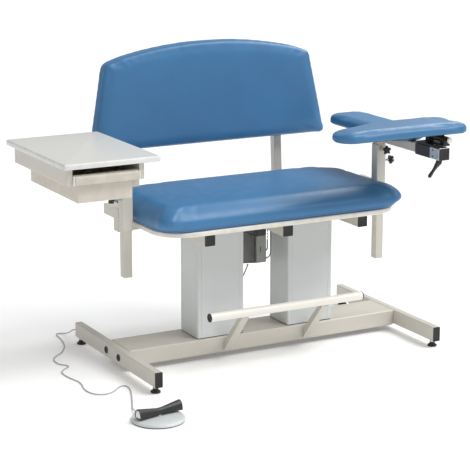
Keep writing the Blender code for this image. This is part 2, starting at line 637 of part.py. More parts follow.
def back_outline(inset):
    """The backrest's outline: straight sides that lean in, and an arched top."""
    arch_radius = (BACK_HALF_TOP ** 2 + BACK_ARCH ** 2) / (2 * BACK_ARCH)
    top = BACK_SIDE_HEIGHT - inset
    low_x, top_x = BACK_HALF_BOTTOM - inset, BACK_HALF_TOP - inset
    peak = (0, top + BACK_ARCH, 0)
    corners = rounded([(-low_x, inset, BACK_CORNER), (low_x, inset, BACK_CORNER),
                       (top_x, top, BACK_SHOULDER), peak, (-top_x, top, BACK_SHOULDER)], 4)
    split = corners.index(peak[:2])
    arch = []
    for k in range(-5, 6):
        x = -k / 5 * top_x * BACK_ARCH_SPAN
        arch.append((x, top - arch_radius + BACK_ARCH + sqrt(arch_radius ** 2 - x * x)))
    return corners[:split] + arch + corners[split + 1:]


def reclined(x, depth, height):
    """A point of the backrest: depth behind its front face, height above its bottom edge."""
    return (x, BACK_FRONT + height * sin(RECLINE) + depth * cos(RECLINE),
            BACK_BOTTOM + height * cos(RECLINE) - depth * sin(RECLINE))


def build_back():
    upright = (pi / 2 - RECLINE, 0, 0)
    slab("back_cushion", "seat", "blue_vinyl", back_outline(0), BACK_CUSHION,
         reclined(0, BACK_CUSHION / 2, 0), upright, BACK_EDGE, 2)
    slab("back_board", "seat", "blue_vinyl", back_outline(BACK_BOARD_INSET), BACK_BOARD,
         reclined(0, BACK_CUSHION + GAP + BACK_BOARD / 2, 0), upright, 0.002)
    depth = BACK_CUSHION + BACK_BOARD + 2 * GAP + POST / 2
    drop = (BACK_BOTTOM - TUBE_BOTTOM) / cos(RECLINE) - 0.005
    for side, sign in SIDES:
        mesh = box_mesh("back_post_" + side, (POST, POST, POST_LENGTH))
        post = add("back_post_" + side, mesh, "seat", "frame_paint",
                   reclined(sign * TUBE_X, depth, POST_LENGTH / 2 - drop), (-RECLINE, 0, 0))
        bevel(post, 0.002)


def build_sleeves():
    """Each sleeve is one weldment: sleeve, side rail, gusset and cross arm."""
    half = SLEEVE / 2
    for side, sign in SIDES:
        def span(name, inner, outer, low_y, high_y, low_z, high_z):
            xs = sorted((sign * inner, sign * outer))
            return box_tool(name + side, (xs[0], low_y, low_z), (xs[1], high_y, high_z))
        x = sign * ARM_X
        sleeve = box("arm_sleeve_" + side, "seat", "frame_paint",
                     (x - half, SLEEVE_FRONT, SLEEVE_BOTTOM), (x + half, SLEEVE_REAR, SLEEVE_TOP),
                     0.002)
        gusset_in = ARM_X - half - GUSSET
        combine(sleeve, span("rail_", ARM_X - half, ARM_X + half, SLEEVE_REAR - 0.005,
                             RAIL_REAR, RAIL_BOTTOM, RAIL_TOP), "UNION")
        combine(sleeve, span("gusset_", gusset_in, ARM_X - half + 0.001, CROSS_ARM_FRONT,
                             RAIL_REAR - 0.001, TUBE_BOTTOM + 0.001, RAIL_TOP - 0.001), "UNION")
        combine(sleeve, span("cross_arm_", TUBE_X + TUBE / 2 + GAP, gusset_in + GUSSET / 2,
                             CROSS_ARM_FRONT + 0.001, RAIL_REAR - 0.002, TUBE_BOTTOM + 0.002,
                             TUBE_TOP - GAP), "UNION")
        inner = half - SLEEVE_WALL
        combine(sleeve, box_tool("sleeve_bore_" + side, (x - inner, ARM_Y - inner, 0.45),
                                 (x + inner, ARM_Y + inner, 0.80)))


def build_control_box():
    profile = [(BOX_FRONT, BOX_FRONT_BOTTOM), (BOX_REAR, BOX_REAR_BOTTOM), (BOX_REAR, BOX_TOP),
               (BOX_FRONT, BOX_TOP)]
    slab("control_box", "seat", "box_plastic", profile, BOX_WIDTH, (0, 0, 0),
         (pi / 2, 0, pi / 2), 0.004)
    wire("motor_lead_left", "seat", "black_plastic", LEAD_ROUTE_LEFT, LEAD_RADIUS, 0.010)
    wire("motor_lead_right", "seat", "black_plastic", LEAD_ROUTE_RIGHT, LEAD_RADIUS, 0.010)


# ---------------------------------------------------------------- arms
def build_knobs():
    for name, (place, axis) in KNOBS.items():
        direction = Vector({"Y": (0, 1, 0), "-Y": (0, -1, 0), "X": (1, 0, 0),
                            "-X": (-1, 0, 0)}[axis])
        middle = Vector(place) + direction * (KNOB_STEM + KNOB_LENGTH / 2)
        knob = slab(name, name, "black_plastic", star_outline(KNOB_RADIUS), KNOB_LENGTH, middle,
                    ALONG[axis], 0.002)
        stem_middle = Vector(place) + direction * (KNOB_STEM + 0.002) / 2
        combine(knob, rod_tool(name + "_stem", stem_middle, KNOB_STEM_RADIUS, KNOB_STEM + 0.002,
                               axis, 12), "UNION")


def arm_post(name, body, x, top):
    half = ARM_POST / 2
    post = box(name, body, "frame_paint", (x - half, ARM_Y - half, top - ARM_POST_LENGTH),
               (x + half, ARM_Y + half, top), 0.002)
    inner = half - ARM_POST_WALL
    combine(post, box_tool(name + "_bore", (x - inner, ARM_Y - inner, top - ARM_POST_LENGTH - 0.01),
                           (x + inner, ARM_Y + inner, top - 0.004)))


def build_left_arm():
    arm_post("arm_post_left", "left_arm", -ARM_X, TRAY_BOTTOM - GAP)
    x0, x1, y0, y1 = TRAY
    slab("tray_top", "left_arm", "tray_laminate", rectangle(x0, x1, y0, y1, 0.006, 0.006, 3),
         TRAY_TOP - TRAY_BOTTOM, (0, 0, (TRAY_TOP + TRAY_BOTTOM) / 2), edge=0.003)
    x0, x1, y0, y1 = CABINET
    cabinet = box("drawer_cabinet", "left_arm", "frame_paint", (x0, y0, CABINET_BOTTOM),
                  (x1, y1, TRAY_BOTTOM - GAP), 0.003)
    cx0, cx1, cy0, cy1 = CAVITY
    combine(cabinet, box_tool("cabinet_cavity", (cx0, cy0, CABINET_BOTTOM + 0.005),
                              (cx1, cy1, TRAY_BOTTOM + 0.010)))
    combine(cabinet, box_tool("cabinet_slot", (cx0 + LEDGE, cy0, CABINET_BOTTOM - 0.010),
                              (cx1 - LEDGE, cy1, CABINET_BOTTOM + 0.010)))
    combine(cabinet, box_tool("cabinet_mouth", (cx0, cy0, CABINET_BOTTOM - 0.010),
                              (cx1, PULL[3] + 0.002, CABINET_BOTTOM + 0.010)))
    x0, x1, y0, y1 = CABINET_RAIL
    box("cabinet_rail", "left_arm", "frame_paint", (x0, y0, CABINET_RAIL_BOTTOM),
        (x1, y1, CABINET_BOTTOM - GAP), 0.002)


def build_drawer():
    x0, x1, y0, y1 = TUB
    tub = box("drawer_tub", "drawer", "drawer_plastic", (x0, y0, TUB_BOTTOM), (x1, y1, TUB_TOP),
              0.002)
    rim_top = TUB_TOP - 0.0005
    rim = box_tool("tub_rim", (CAVITY[0] + 0.002, y0 + 0.001, rim_top - RIM_THICKNESS),
                   (CAVITY[1] - 0.002, y1 + 0.004, rim_top))
    combine(tub, rim, "UNION")
    combine(tub, box_tool("tub_hollow", (x0 + TUB_WALL, y0 + TUB_WALL, TUB_BOTTOM + TUB_WALL),
                          (x1 - TUB_WALL, y1 - TUB_WALL, TUB_TOP + 0.01)))
    x0, x1, y0, y1 = PULL
    box("drawer_pull", "drawer", "drawer_plastic", (x0, y0, PULL_BOTTOM), (x1, y1, PULL_TOP),
        0.008, 2)


def ring(name, body, finish, low_y, high_y):
    """A square block around the arm tube."""
    half = COLLAR / 2
    middle = (ARM_TUBE_BOTTOM + ARM_TUBE_TOP) / 2
    block = box(name, body, finish, (ARM_X - half, low_y, middle - half),
                (ARM_X + half, high_y, middle + half), 0.0025)
    hole = ARM_TUBE / 2 + GAP
    combine(block, box_tool(name + "_hole", (ARM_X - hole, low_y - 0.01, middle - hole),
                            (ARM_X + hole, high_y + 0.01, middle + hole)))


def build_right_arm():
    arm_post("arm_post_right", "right_arm", ARM_X, ARM_TUBE_BOTTOM - GAP)
    half = ARM_TUBE / 2
    square_tube("arm_tube", "right_arm", "frame_paint",
                (ARM_X - half, ARM_TUBE_FRONT, ARM_TUBE_BOTTOM),
                (ARM_X + half, ARM_TUBE_REAR, ARM_TUBE_TOP), ARM_POST_WALL, 0.002, ("front",))
    tube_cap("arm_tube_cap", "right_arm", ARM_X, ARM_TUBE_FRONT, ARM_TUBE_BOTTOM, ARM_TUBE,
             ARM_TUBE, ARM_POST_WALL, -1)
    ring("arm_collar", "right_arm", "black_plastic", COLLAR_FRONT + GAP, COLLAR_REAR)
    ring("clamp_block", "right_arm", "aluminium", ARM_TUBE_FRONT, COLLAR_FRONT)
    x0, x1, y0, y1 = SIDE_PAD
    end = (x1 - x0) / 2 - 0.002
    outline = rounded([(x0, y0, end), (x1, y0, end), (x1, y1, end), (x0, y1, end)], 7)
    slab("side_pad", "right_arm", "blue_vinyl", outline, PAD_THICKNESS,
         (0, 0, SIDE_PAD_BOTTOM + PAD_THICKNESS / 2), edge=PAD_EDGE, segments=2)


def build_flip_arm():
    plate_bottom = (ARM_TUBE_BOTTOM + ARM_TUBE_TOP + COLLAR) / 2 + 0.0005
    bracket = box("swivel_bracket", "swivel", "black_plastic",
                  (PLATE_LEFT, HINGE_FRONT, plate_bottom),
                  (PLATE_RIGHT, HINGE_REAR, plate_bottom + PLATE), 0.001)
    for label, low, high in (("front", HINGE_FRONT, HINGE_FRONT + EAR),
                             ("rear", HINGE_REAR - EAR, HINGE_REAR)):
        combine(bracket, box_tool("ear_" + label,
                                  (HINGE_X - EAR_RADIUS, low, plate_bottom + PLATE / 2),
                                  (HINGE_X + EAR_RADIUS, high, HINGE_Z)), "UNION")
        combine(bracket, rod_tool("ear_round_" + label, (HINGE_X, (low + high) / 2, HINGE_Z),
                                  EAR_RADIUS, EAR, "Y", 24), "UNION")
    knuckle = HINGE_REAR - HINGE_FRONT - 2 * EAR - 0.001
    middle = (HINGE_REAR + HINGE_FRONT) / 2
    leaf = box("flip_hinge_leaf", "flip", "black_plastic",
               (LEAF_LEFT, HINGE_FRONT + 0.004, FLIP_PAD_BOTTOM - GAP - LEAF),
               (LEAF_RIGHT, HINGE_REAR - 0.004, FLIP_PAD_BOTTOM - GAP), 0.001)
    combine(leaf, rod_tool("hinge_knuckle", (HINGE_X, middle, HINGE_Z), KNUCKLE_RADIUS, knuckle,
                           "Y", 24), "UNION")
    web = knuckle / 2 - 0.001
    combine(leaf, box_tool("hinge_web", (HINGE_X - 0.007, middle - web, HINGE_Z),
                           (HINGE_X + 0.007, middle + web, FLIP_PAD_BOTTOM - LEAF / 2)), "UNION")
    slab("flip_pad", "flip", "blue_vinyl", rounded(FLIP_PAD, 7), PAD_THICKNESS,
         (0, 0, FLIP_PAD_BOTTOM + PAD_THICKNESS / 2), edge=PAD_EDGE, segments=2)
    knob_y = HINGE_FRONT - RING_KNOB_STEM - RING_KNOB_LENGTH / 2
    knob = rod("plunger_ring_knob", "plunger", "switch_plastic", (HINGE_X, knob_y, HINGE_Z),
               RING_KNOB_RADIUS, RING_KNOB_LENGTH, "-Y", sides=20)
    stem = RING_KNOB_STEM + 0.0015
    combine(knob, rod_tool("plunger_stem", (HINGE_X, HINGE_FRONT - GAP - stem / 2, HINGE_Z),
                           0.004, stem, "Y", 12), "UNION")


def build_lever():
    """A hub under the clamp block with an arm that hangs back and down."""
    top = (ARM_TUBE_BOTTOM + ARM_TUBE_TOP - COLLAR) / 2 - 0.0005
    lever = rod("clamp_lever", "lever", "black_plastic", (ARM_X, SWIVEL_Y, top - HUB_HEIGHT / 2),
                HUB_RADIUS, HUB_HEIGHT, sides=20)
    middle = (ARM_X, SWIVEL_Y + LEVER / 2 * sin(LEVER_SLOPE),
              top - 0.012 - LEVER / 2 * cos(LEVER_SLOPE))
    arm = cutter("lever_arm", box_mesh("lever_arm", (LEVER_WIDTH, LEVER_DEPTH, LEVER)), middle,
                 (LEVER_SLOPE, 0, 0))
    combine(lever, arm, "UNION")


def centre_on_footprint():
    """Move the whole chair so that the origin is at the middle of its footprint."""
    bpy.context.view_layer.update()
    ready = bpy.context.evaluated_depsgraph_get()
    low, high = Vector((9, 9, 9)), Vector((-9, -9, -9))
    for piece in PARTS.objects:
        if piece.type == "EMPTY" or piece.name == "foot_switch_cord":
            continue
        shape = piece.evaluated_get(ready)
        mesh = shape.to_mesh()
        for vertex in mesh.vertices:
            place = piece.matrix_world @ vertex.co
            low = Vector(map(min, low, place))
            high = Vector(map(max, high, place))
        shape.to_mesh_clear()
    shift = Vector((-(low.x + high.x) / 2, -(low.y + high.y) / 2, -low.z))
    FRAMES["base"][0].location = shift
    for tool in CUTTERS.objects:
        tool.location += shift


build_legs()
build_feet()
build_channel()
build_footrest()
build_inner_columns()
build_gland()
build_foot_switch()
build_columns()
build_seat()
build_back()
build_sleeves()
build_control_box()
build_knobs()
build_left_arm()
build_drawer()
build_right_arm()
build_flip_arm()
build_lever()
centre_on_footprint()
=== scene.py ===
"""Looks for the extra-wide powered blood-drawing chair.

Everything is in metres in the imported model's own frame. Places come from the boxes of the CAD
nodes, so each piece is built where it belongs and rides on its body. "Left" and "right" are as
seen from the front, which faces -Y.
"""

import json
from math import cos, pi, radians, sin, sqrt

import bmesh
import bpy
from mathutils import Matrix, Vector
from mathutils.bvhtree import BVHTree


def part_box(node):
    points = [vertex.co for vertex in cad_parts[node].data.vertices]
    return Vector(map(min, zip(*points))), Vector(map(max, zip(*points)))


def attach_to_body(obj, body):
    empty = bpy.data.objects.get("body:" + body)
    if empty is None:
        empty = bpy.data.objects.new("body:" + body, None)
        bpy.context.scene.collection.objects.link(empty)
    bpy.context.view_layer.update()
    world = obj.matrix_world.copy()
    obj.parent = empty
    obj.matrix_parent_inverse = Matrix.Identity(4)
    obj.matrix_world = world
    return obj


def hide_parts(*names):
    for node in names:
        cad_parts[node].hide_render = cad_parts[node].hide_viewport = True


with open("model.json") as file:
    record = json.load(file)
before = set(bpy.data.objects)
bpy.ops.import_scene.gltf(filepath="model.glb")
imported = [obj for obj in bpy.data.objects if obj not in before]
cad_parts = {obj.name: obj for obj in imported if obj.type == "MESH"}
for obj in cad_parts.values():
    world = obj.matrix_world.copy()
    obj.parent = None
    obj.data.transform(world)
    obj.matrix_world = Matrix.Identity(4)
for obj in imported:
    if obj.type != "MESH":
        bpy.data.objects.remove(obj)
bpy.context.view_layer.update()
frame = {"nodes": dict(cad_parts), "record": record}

SIDES = (("left", -1), ("right", 1))
GAP = 0.0003                        # clearance between pieces that touch


def middle_of(*nodes):
    """The middle of the box round some CAD nodes."""
    lows, highs = zip(*(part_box(node) for node in nodes))
    low = [min(values) for values in zip(*lows)]
    high = [max(values) for values in zip(*highs)]
    return (Vector(low) + Vector(high)) / 2


CHAIR = middle_of("column_cover_left", "column_cover_right")     # midway between the columns
CHAIR.z = 0.0

# ================================================================ camera
CAMERA_OFFSET = Vector((-3.0902, -5.5968, 1.9798))       # from the middle of the chair
CAMERA_AIM = Vector((-0.0525, 0.0, 0.475))
CAMERA_ROLL = radians(0.088)


def make_camera():
    lens = bpy.data.cameras.new("camera")
    lens.sensor_width = 36.0
    lens.lens = 133.69
    lens.shift_x, lens.shift_y = -0.0208, -0.0207
    lens.clip_end = 60.0
    camera = bpy.data.objects.new("camera", lens)
    bpy.context.scene.collection.objects.link(camera)
    forward = CAMERA_AIM - CAMERA_OFFSET
    turn = forward.to_track_quat("-Z", "Y").to_matrix() @ Matrix.Rotation(CAMERA_ROLL, 3, "Z")
    camera.matrix_world = Matrix.Translation(CHAIR + CAMERA_OFFSET) @ turn.to_4x4()
    bpy.context.scene.camera = camera


# ================================================================ materials
class Nodes:
    """Short calls for building a node material."""

    def __init__(self, name):
        self.material = bpy.data.materials.new(name)
        self.material.use_nodes = True
        self.tree = self.material.node_tree
        self.shader = self.tree.nodes["Principled BSDF"]
        self.place = self.tree.nodes.new("ShaderNodeTexCoord").outputs["Object"]

    def node(self, kind, **inputs):
        made = self.tree.nodes.new("ShaderNode" + kind)
        for name, value in inputs.items():
            self.set(made.inputs[name.replace("_", " ")], value)
        return made

    def set(self, socket, value):
        if isinstance(value, bpy.types.NodeSocket):
            self.tree.links.new(value, socket)
        else:
            socket.default_value = value

    def noise(self, scale, detail=3.0, roughness=0.55):
        return self.node("TexNoise", Vector=self.place, Scale=scale, Detail=detail,
                         Roughness=roughness).outputs["Fac"]

    def cells(self, scale, feature="F1"):
        made = self.node("TexVoronoi", Vector=self.place, Scale=scale)
        made.feature = feature
        return made.outputs["Distance"]

    def spread(self, value, low, high, from_low=0.3, from_high=0.7):
        """Map a value that runs from_low..from_high onto low..high."""
        made = self.node("MapRange", Value=value)
        for name, number in (("From Min", from_low), ("From Max", from_high), ("To Min", low),
                             ("To Max", high)):
            made.inputs[name].default_value = number
        return made.outputs["Result"]

    def mix(self, factor, first, second):
        made = self.tree.nodes.new("ShaderNodeMix")
        made.data_type = "RGBA"
        self.set(made.inputs[0], factor)
        self.set(made.inputs[6], first)
        self.set(made.inputs[7], second)
        return made.outputs[2]

    def worn_edges(self, low=0.52, high=0.60):
        """1 on sharp outer edges, 0 on flats."""
        shape = self.node("NewGeometry").outputs["Pointiness"]
        return self.spread(shape, 0.0, 1.0, low, high)

    def bump(self, height, distance, strength=0.6, under=None):
        made = self.node("Bump", Height=height, Strength=strength, Distance=distance)
        if under is not None:
            self.set(made.inputs["Normal"], under)
        return made.outputs["Normal"]

    def finish(self, **inputs):
        for name, value in inputs.items():
            self.set(self.shader.inputs[name.replace("_", " ")], value)
        return self.material


def shade(colour, by):
    """A colour made lighter (by > 1) or darker (by < 1), with alpha 1."""
    return tuple(min(1.0, part * by) for part in colour[:3]) + (1.0,)


def powder_coat(name, colour, roughness=0.40):
    """Baked powder coat: orange-peel ripple, a fine pigment speckle and paler worn edges."""
    n = Nodes(name)
    speckle = n.mix(n.spread(n.noise(2600, 2), 0, 1, 0.42, 0.58), shade(colour, 0.96),
                    shade(colour, 1.03))
    broad = n.mix(n.spread(n.noise(7, 2), 0, 0.35), speckle, shade(colour, 0.93))
    paint = n.mix(n.spread(n.worn_edges(), 0, 0.30, 0, 1), broad, shade(colour, 1.15))
    peel = n.bump(n.noise(420, 2), 0.0004, 0.30)
    rough = n.spread(n.noise(38, 3), roughness - 0.05, roughness + 0.07)
    return n.finish(Base_Color=paint, Roughness=rough, Normal=peel, Coat_Weight=0.15,
                    Coat_Roughness=0.25)


def moulded_plastic(name, colour, roughness=0.5, texture=900, depth=0.00018):
    """Injection-moulded plastic: spark-eroded texture, scuffs and slightly paler edges."""
    n = Nodes(name)
    broad = n.mix(n.spread(n.noise(24, 3), 0, 1), shade(colour, 0.90), shade(colour, 1.08))
    paint = n.mix(n.spread(n.worn_edges(), 0, 0.35, 0, 1), broad,
                  shade([part + 0.03 for part in colour[:3]], 1.25))
    grain = n.bump(n.noise(texture, 2), depth, 0.45)
    scuffs = n.spread(n.noise(60, 5, 0.7), roughness - 0.08, roughness + 0.12)
    return n.finish(Base_Color=paint, Roughness=scuffs, Normal=grain)


def upholstery_vinyl(name, colour):
    """Coated vinyl: a fine pebbled grain, faint clouding, soft wrinkling and a low sheen."""
    n = Nodes(name)
    cloud = n.mix(n.spread(n.noise(5.5, 4), 0, 1), shade(colour, 0.93), shade(colour, 1.06))
    pores = n.mix(n.spread(n.cells(640), 0, 1, 0.0, 0.35), shade(colour, 0.80), cloud)
    soft = n.bump(n.noise(16, 3), 0.0035, 0.10)
    grain = n.bump(n.cells(640, "SMOOTH_F1"), 0.00030, 0.32, soft)
    rough = n.spread(n.noise(30, 4), 0.36, 0.46)
    return n.finish(Base_Color=pores, Roughness=rough, Normal=grain, Coat_Weight=0.10,
                    Coat_Roughness=0.34, Specular_IOR_Level=0.36)


def laminate(name, colour, edge):
    """High-pressure laminate: a fine mottled print and a crazed, nearly smooth face."""
    n = Nodes(name)
    print_fine = n.mix(n.spread(n.noise(950, 2), 0, 1, 0.40, 0.60), shade(colour, 0.955),
                       shade(colour, 1.03))
    print_broad = n.mix(n.spread(n.noise(60, 4), 0, 0.5), print_fine, shade(colour, 0.965))
    paint = n.mix(n.spread(n.worn_edges(), 0, 0.6, 0, 1), print_broad, edge)
    face = n.bump(n.cells(1300, "SMOOTH_F1"), 0.00008, 0.4)
    rough = n.spread(n.noise(50, 3), 0.30, 0.42)
    return n.finish(Base_Color=paint, Roughness=rough, Normal=face)


def metal(name, colour, roughness, grain=1500, depth=0.00025, stretch=None):
    """Bare metal: cast sparkle, or a brushed grain when stretched along one axis."""
    n = Nodes(name)
    if stretch:
        n.place = n.node("Mapping", Vector=n.place, Scale=stretch).outputs["Vector"]
    fine = n.noise(grain, 3)
    paint = n.mix(n.spread(fine, 0, 1), shade(colour, 0.78), shade(colour, 1.15))
    rough = n.spread(n.noise(grain / 3, 3), roughness - 0.08, roughness + 0.12)
    return n.finish(Base_Color=paint, Metallic=1.0, Roughness=rough,
                    Normal=n.bump(fine, depth, 0.6))


def soft_rubber(name, colour, roughness=0.55):
    """Rubber or soft cable sheath: a dull skin with faint shading."""
    n = Nodes(name)
    paint = n.mix(n.spread(n.noise(45, 3), 0, 1), shade(colour, 0.92), shade(colour, 1.05))
    skin = n.bump(n.noise(1200, 2), 0.0001, 0.4)
    return n.finish(Base_Color=paint, Roughness=n.spread(n.noise(90, 3), roughness - 0.07,
                                                         roughness + 0.08), Normal=skin)


FRAME_PAINT = powder_coat("frame_powder_coat", (0.56, 0.535, 0.475))
COLUMN_PAINT = powder_coat("column_powder_coat", (0.60, 0.625, 0.62), 0.36)
BAR_PAINT = powder_coat("footrest_powder_coat", (0.82, 0.79, 0.73), 0.34)
BLUE_VINYL = upholstery_vinyl("blue_upholstery_vinyl", (0.050, 0.182, 0.372))
THREAD = soft_rubber("seam_thread", (0.045, 0.155, 0.340), 0.65)
TRAY_LAMINATE = laminate("tray_laminate", (0.66, 0.66, 0.635), (0.84, 0.84, 0.82, 1))
EDGE_BAND = laminate("board_edge_band", (0.68, 0.65, 0.58), (0.80, 0.78, 0.72, 1))
BEIGE_PLASTIC = moulded_plastic("beige_drawer_plastic", (0.58, 0.53, 0.46), 0.42)
WHITE_PLASTIC = moulded_plastic("white_end_plastic", (0.80, 0.80, 0.78), 0.38)
BLACK_PLASTIC = moulded_plastic("black_plastic", (0.012, 0.012, 0.013), 0.48)
SADDLE_RUBBER = moulded_plastic("black_saddle_plastic", (0.020, 0.020, 0.021), 0.40, 1400)
SWITCH_GREY = moulded_plastic("light_grey_switch_plastic", (0.62, 0.65, 0.66), 0.40)
BOX_GREY = moulded_plastic("dark_grey_box_plastic", (0.105, 0.104, 0.095), 0.50)
BOX_END_GREY = moulded_plastic("mid_grey_box_plastic", (0.24, 0.25, 0.235), 0.50)
CAST_ALUMINIUM = metal("cast_aluminium", (0.62, 0.63, 0.64), 0.40)
DRAWN_ALUMINIUM = metal("drawn_aluminium", (0.66, 0.66, 0.65), 0.32, 900, 0.0001, (1, 1, 0.02))
STEEL = metal("zinc_plated_steel", (0.55, 0.54, 0.50), 0.28, 700, 0.00006)
BRONZE = metal("dark_bronze", (0.16, 0.11, 0.06), 0.38, 800, 0.0001)
CORD_GREY = soft_rubber("light_grey_cord_sheath", (0.46, 0.46, 0.45))
BLACK_RUBBER = soft_rubber("black_rubber", (0.018, 0.018, 0.018), 0.70)
TRAY_EDGE = moulded_plastic("tray_edge_band", (0.72, 0.72, 0.70), 0.34, 1400, 0.00006)
BOARD_EDGE = moulded_plastic("board_edge_moulding", (0.74, 0.71, 0.64), 0.36, 1400, 0.00006)
LEAD_GREY = soft_rubber("grey_lead_sheath", (0.17, 0.17, 0.16))
BACKING = moulded_plastic("black_backing_board", (0.020, 0.020, 0.020), 0.62, 500, 0.0003)

SLOT_MATERIALS = {
    "frame_paint": FRAME_PAINT, "column_paint": COLUMN_PAINT, "bar_paint": BAR_PAINT,
    "black_plastic": BLACK_PLASTIC, "blue_vinyl": BLUE_VINYL, "board_laminate": EDGE_BAND,
    "tray_laminate": TRAY_LAMINATE, "drawer_plastic": BEIGE_PLASTIC,
    "aluminium": CAST_ALUMINIUM, "switch_plastic": SWITCH_GREY, "box_plastic": BOX_GREY,
    "grey_rubber": CORD_GREY,
}


def paint_cad_nodes():
    """Give every CAD node that stays the finish of its slot in the record."""
    for entry in frame["record"]["subparts"]:
        node = frame["nodes"][entry["node"]]
        node.data.materials.clear()
        node.data.materials.append(SLOT_MATERIALS[entry["material_slot"]])
    for side, _ in SIDES:
        inner = frame["nodes"]["column_inner_" + side]
        inner.data.materials.clear()
        inner.data.materials.append(DRAWN_ALUMINIUM)


# ================================================================ mesh helpers
def linked(name, data):
    """A new object in the scene."""
    made = bpy.data.objects.new(name, data)
    bpy.context.scene.collection.objects.link(made)
    return made


def piece(name, shape, material, body, sharp=35.0, replaces=()):
    """Turn a bmesh into a piece that rides on a body and stands for some CAD nodes."""
    bmesh.ops.remove_doubles(shape, verts=shape.verts, dist=0.00001)
    bmesh.ops.recalc_face_normals(shape, faces=shape.faces)
    mesh = bpy.data.meshes.new(name)
    shape.to_mesh(mesh)
    shape.free()
    mesh.shade_smooth()
    mesh.set_sharp_from_angle(angle=radians(sharp))
    mesh.materials.append(material)
    made = linked(name, mesh)
    return attach(made, body, replaces)


def attach(made, body, replaces=()):
    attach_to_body(made, body)
    if replaces:
        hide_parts(*replaces)
    return made


def bridge(shape, rings, capped=True):
    """Skin a list of equal rings of points; capped fills both ends."""
    loops = [[shape.verts.new(point) for point in ring] for ring in rings]
    count = len(loops[0])
    for first, second in zip(loops, loops[1:]):
        for k in range(count):
            j = (k + 1) % count
            shape.faces.new((first[k], first[j], second[j], second[k]))
    if capped:
        shape.faces.new(reversed(loops[0]))
        shape.faces.new(loops[-1])
    return loops


def turned(shape, profile, centre, axis, sides=48):
    """Add a turned solid: profile is (radius, height) pairs along the axis from centre."""
    turn = Vector(axis).to_track_quat("Z", "Y").to_matrix()
    rings = []
    for radius, height in profile:
        rings.append([Vector(centre) + turn @ Vector((radius * cos(2 * pi * k / sides),
                                                      radius * sin(2 * pi * k / sides), height))
                      for k in range(sides)])
    bridge(shape, rings)


def rounded(corners, steps=8):
    """Outline points with each corner (x, y, radius) turned into an arc."""
    points = []
    count = len(corners)
    for i, (x, y, radius) in enumerate(corners):
        here = Vector((x, y))
        if radius == 0:
            points.append(here)
            continue
        before = (Vector(corners[i - 1][:2]) - here).normalized()
        after = (Vector(corners[(i + 1) % count][:2]) - here).normalized()
        half = before.angle(after) / 2
        reach = radius * cos(half) / sin(half)
        start, end = here + before * reach, here + after * reach
        centre = here + (before + after).normalized() * (radius / sin(half))
        turn = -(start - centre).angle_signed(end - centre)
        for k in range(steps + 1):
            points.append(centre + Matrix.Rotation(turn * k / steps, 2) @ (start - centre))
    return points


def inset(points, distance):
    """A closed anticlockwise outline moved inwards by a distance."""
    moved = []
    count = len(points)
    for i, here in enumerate(points):
        one = (here - points[i - 1]).normalized()
        two = (points[(i + 1) % count] - here).normalized()
        inward = Vector((-one.y - two.y, one.x + two.x)).normalized()
        lean = max(0.5, inward.dot(Vector((-one.y, one.x))))
        moved.append(here + inward * (distance / lean))
    return moved


def stack(shape, outline, profile, place=Matrix()):
    """Add a slab whose edge follows profile: (inset, height) pairs from one face to the other."""
    rings = [[place @ Vector((*point, height)) for point in inset(outline, distance)]
             for distance, height in profile]
    bridge(shape, rings)


def bullnose(low, high, radius, steps=5):
    """An edge profile for stack: a slab from low to high with rounded edges."""
    lower = [(radius * (1 - sin(pi / 2 * k / steps)), low + radius * (1 - cos(pi / 2 * k / steps)))
             for k in range(steps + 1)]
    upper = [(inward, low + high - height) for inward, height in reversed(lower)]
    return lower + upper


def block(shape, low, high, edge=0.0015, place=Matrix()):
    """Add a box with rounded upright edges and eased top and bottom edges."""
    (x0, y0, z0), (x1, y1, z1) = low, high
    outline = rounded([(x0, y0, edge), (x1, y0, edge), (x1, y1, edge), (x0, y1, edge)], 3)
    stack(shape, outline, bullnose(z0, z1, edge * 0.8, 3), place)


def tube_along(shape, points, radius, sides=10):
    """Add a round tube along a line of points; radius may be a list."""
    radii = radius if isinstance(radius, list) else [radius] * len(points)
    rings = []
    for i, here in enumerate(points):
        ahead = points[min(i + 1, len(points) - 1)] - points[max(i - 1, 0)]
        turn = ahead.to_track_quat("Z", "Y").to_matrix()
        rings.append([here + turn @ Vector((radii[i] * cos(2 * pi * k / sides),
                                            radii[i] * sin(2 * pi * k / sides), 0))
                      for k in range(sides)])
    bridge(shape, rings)


def facing(direction, origin):
    """From a plane (x across, y up, z outwards) to a face that looks in a direction."""
    out = Vector(direction)
    up = Vector((0, 0, 1))
    across = up.cross(out)
    turn = Matrix((across, up, out)).transposed()
    return Matrix.Translation(origin) @ turn.to_4x4()


def along_x(origin=(0, 0, 0)):
    """From a profile in (y, z), with its length along x."""
    return facing((1, 0, 0), origin)


def resampled(points, count):
    """A closed outline as count evenly spaced points."""
    closed = points + points[:1]
    total = length_of(closed)
    even, walked, step = [], 0.0, total / count
    target = 0.0
    for here, there in zip(closed, closed[1:]):
        span = (there - here).length
        while span and target <= walked + span and len(even) < count:
            even.append(here.lerp(there, (target - walked) / span))
            target += step
        walked += span
    return even


def hollow(shape, outline, low, high, wall, edge=0.001):
    """Add a cover that is open underneath: an outline from low to high, closed on top."""
    inner = inset(outline, wall)
    rings = [[Vector((*point, height)) for point in inner] for height in (high - wall, low)]
    for distance, height in [(0.0, low)] + bullnose(low, high, edge, 3)[4:]:
        rings.append([Vector((*point, height)) for point in inset(outline, distance)])
    bridge(shape, rings)


def collar(shape, outer, inner, low, high, place=Matrix()):
    """Add a ring between two outlines with the same number of points."""
    rings = [[place @ Vector((*point, height)) for point in outline]
             for outline, height in ((outer, low), (outer, high), (inner, high), (inner, low))]
    loops = bridge(shape, rings, capped=False)
    count = len(outer)
    for k in range(count):
        j = (k + 1) % count
        shape.faces.new((loops[-1][k], loops[-1][j], loops[0][j], loops[0][k]))


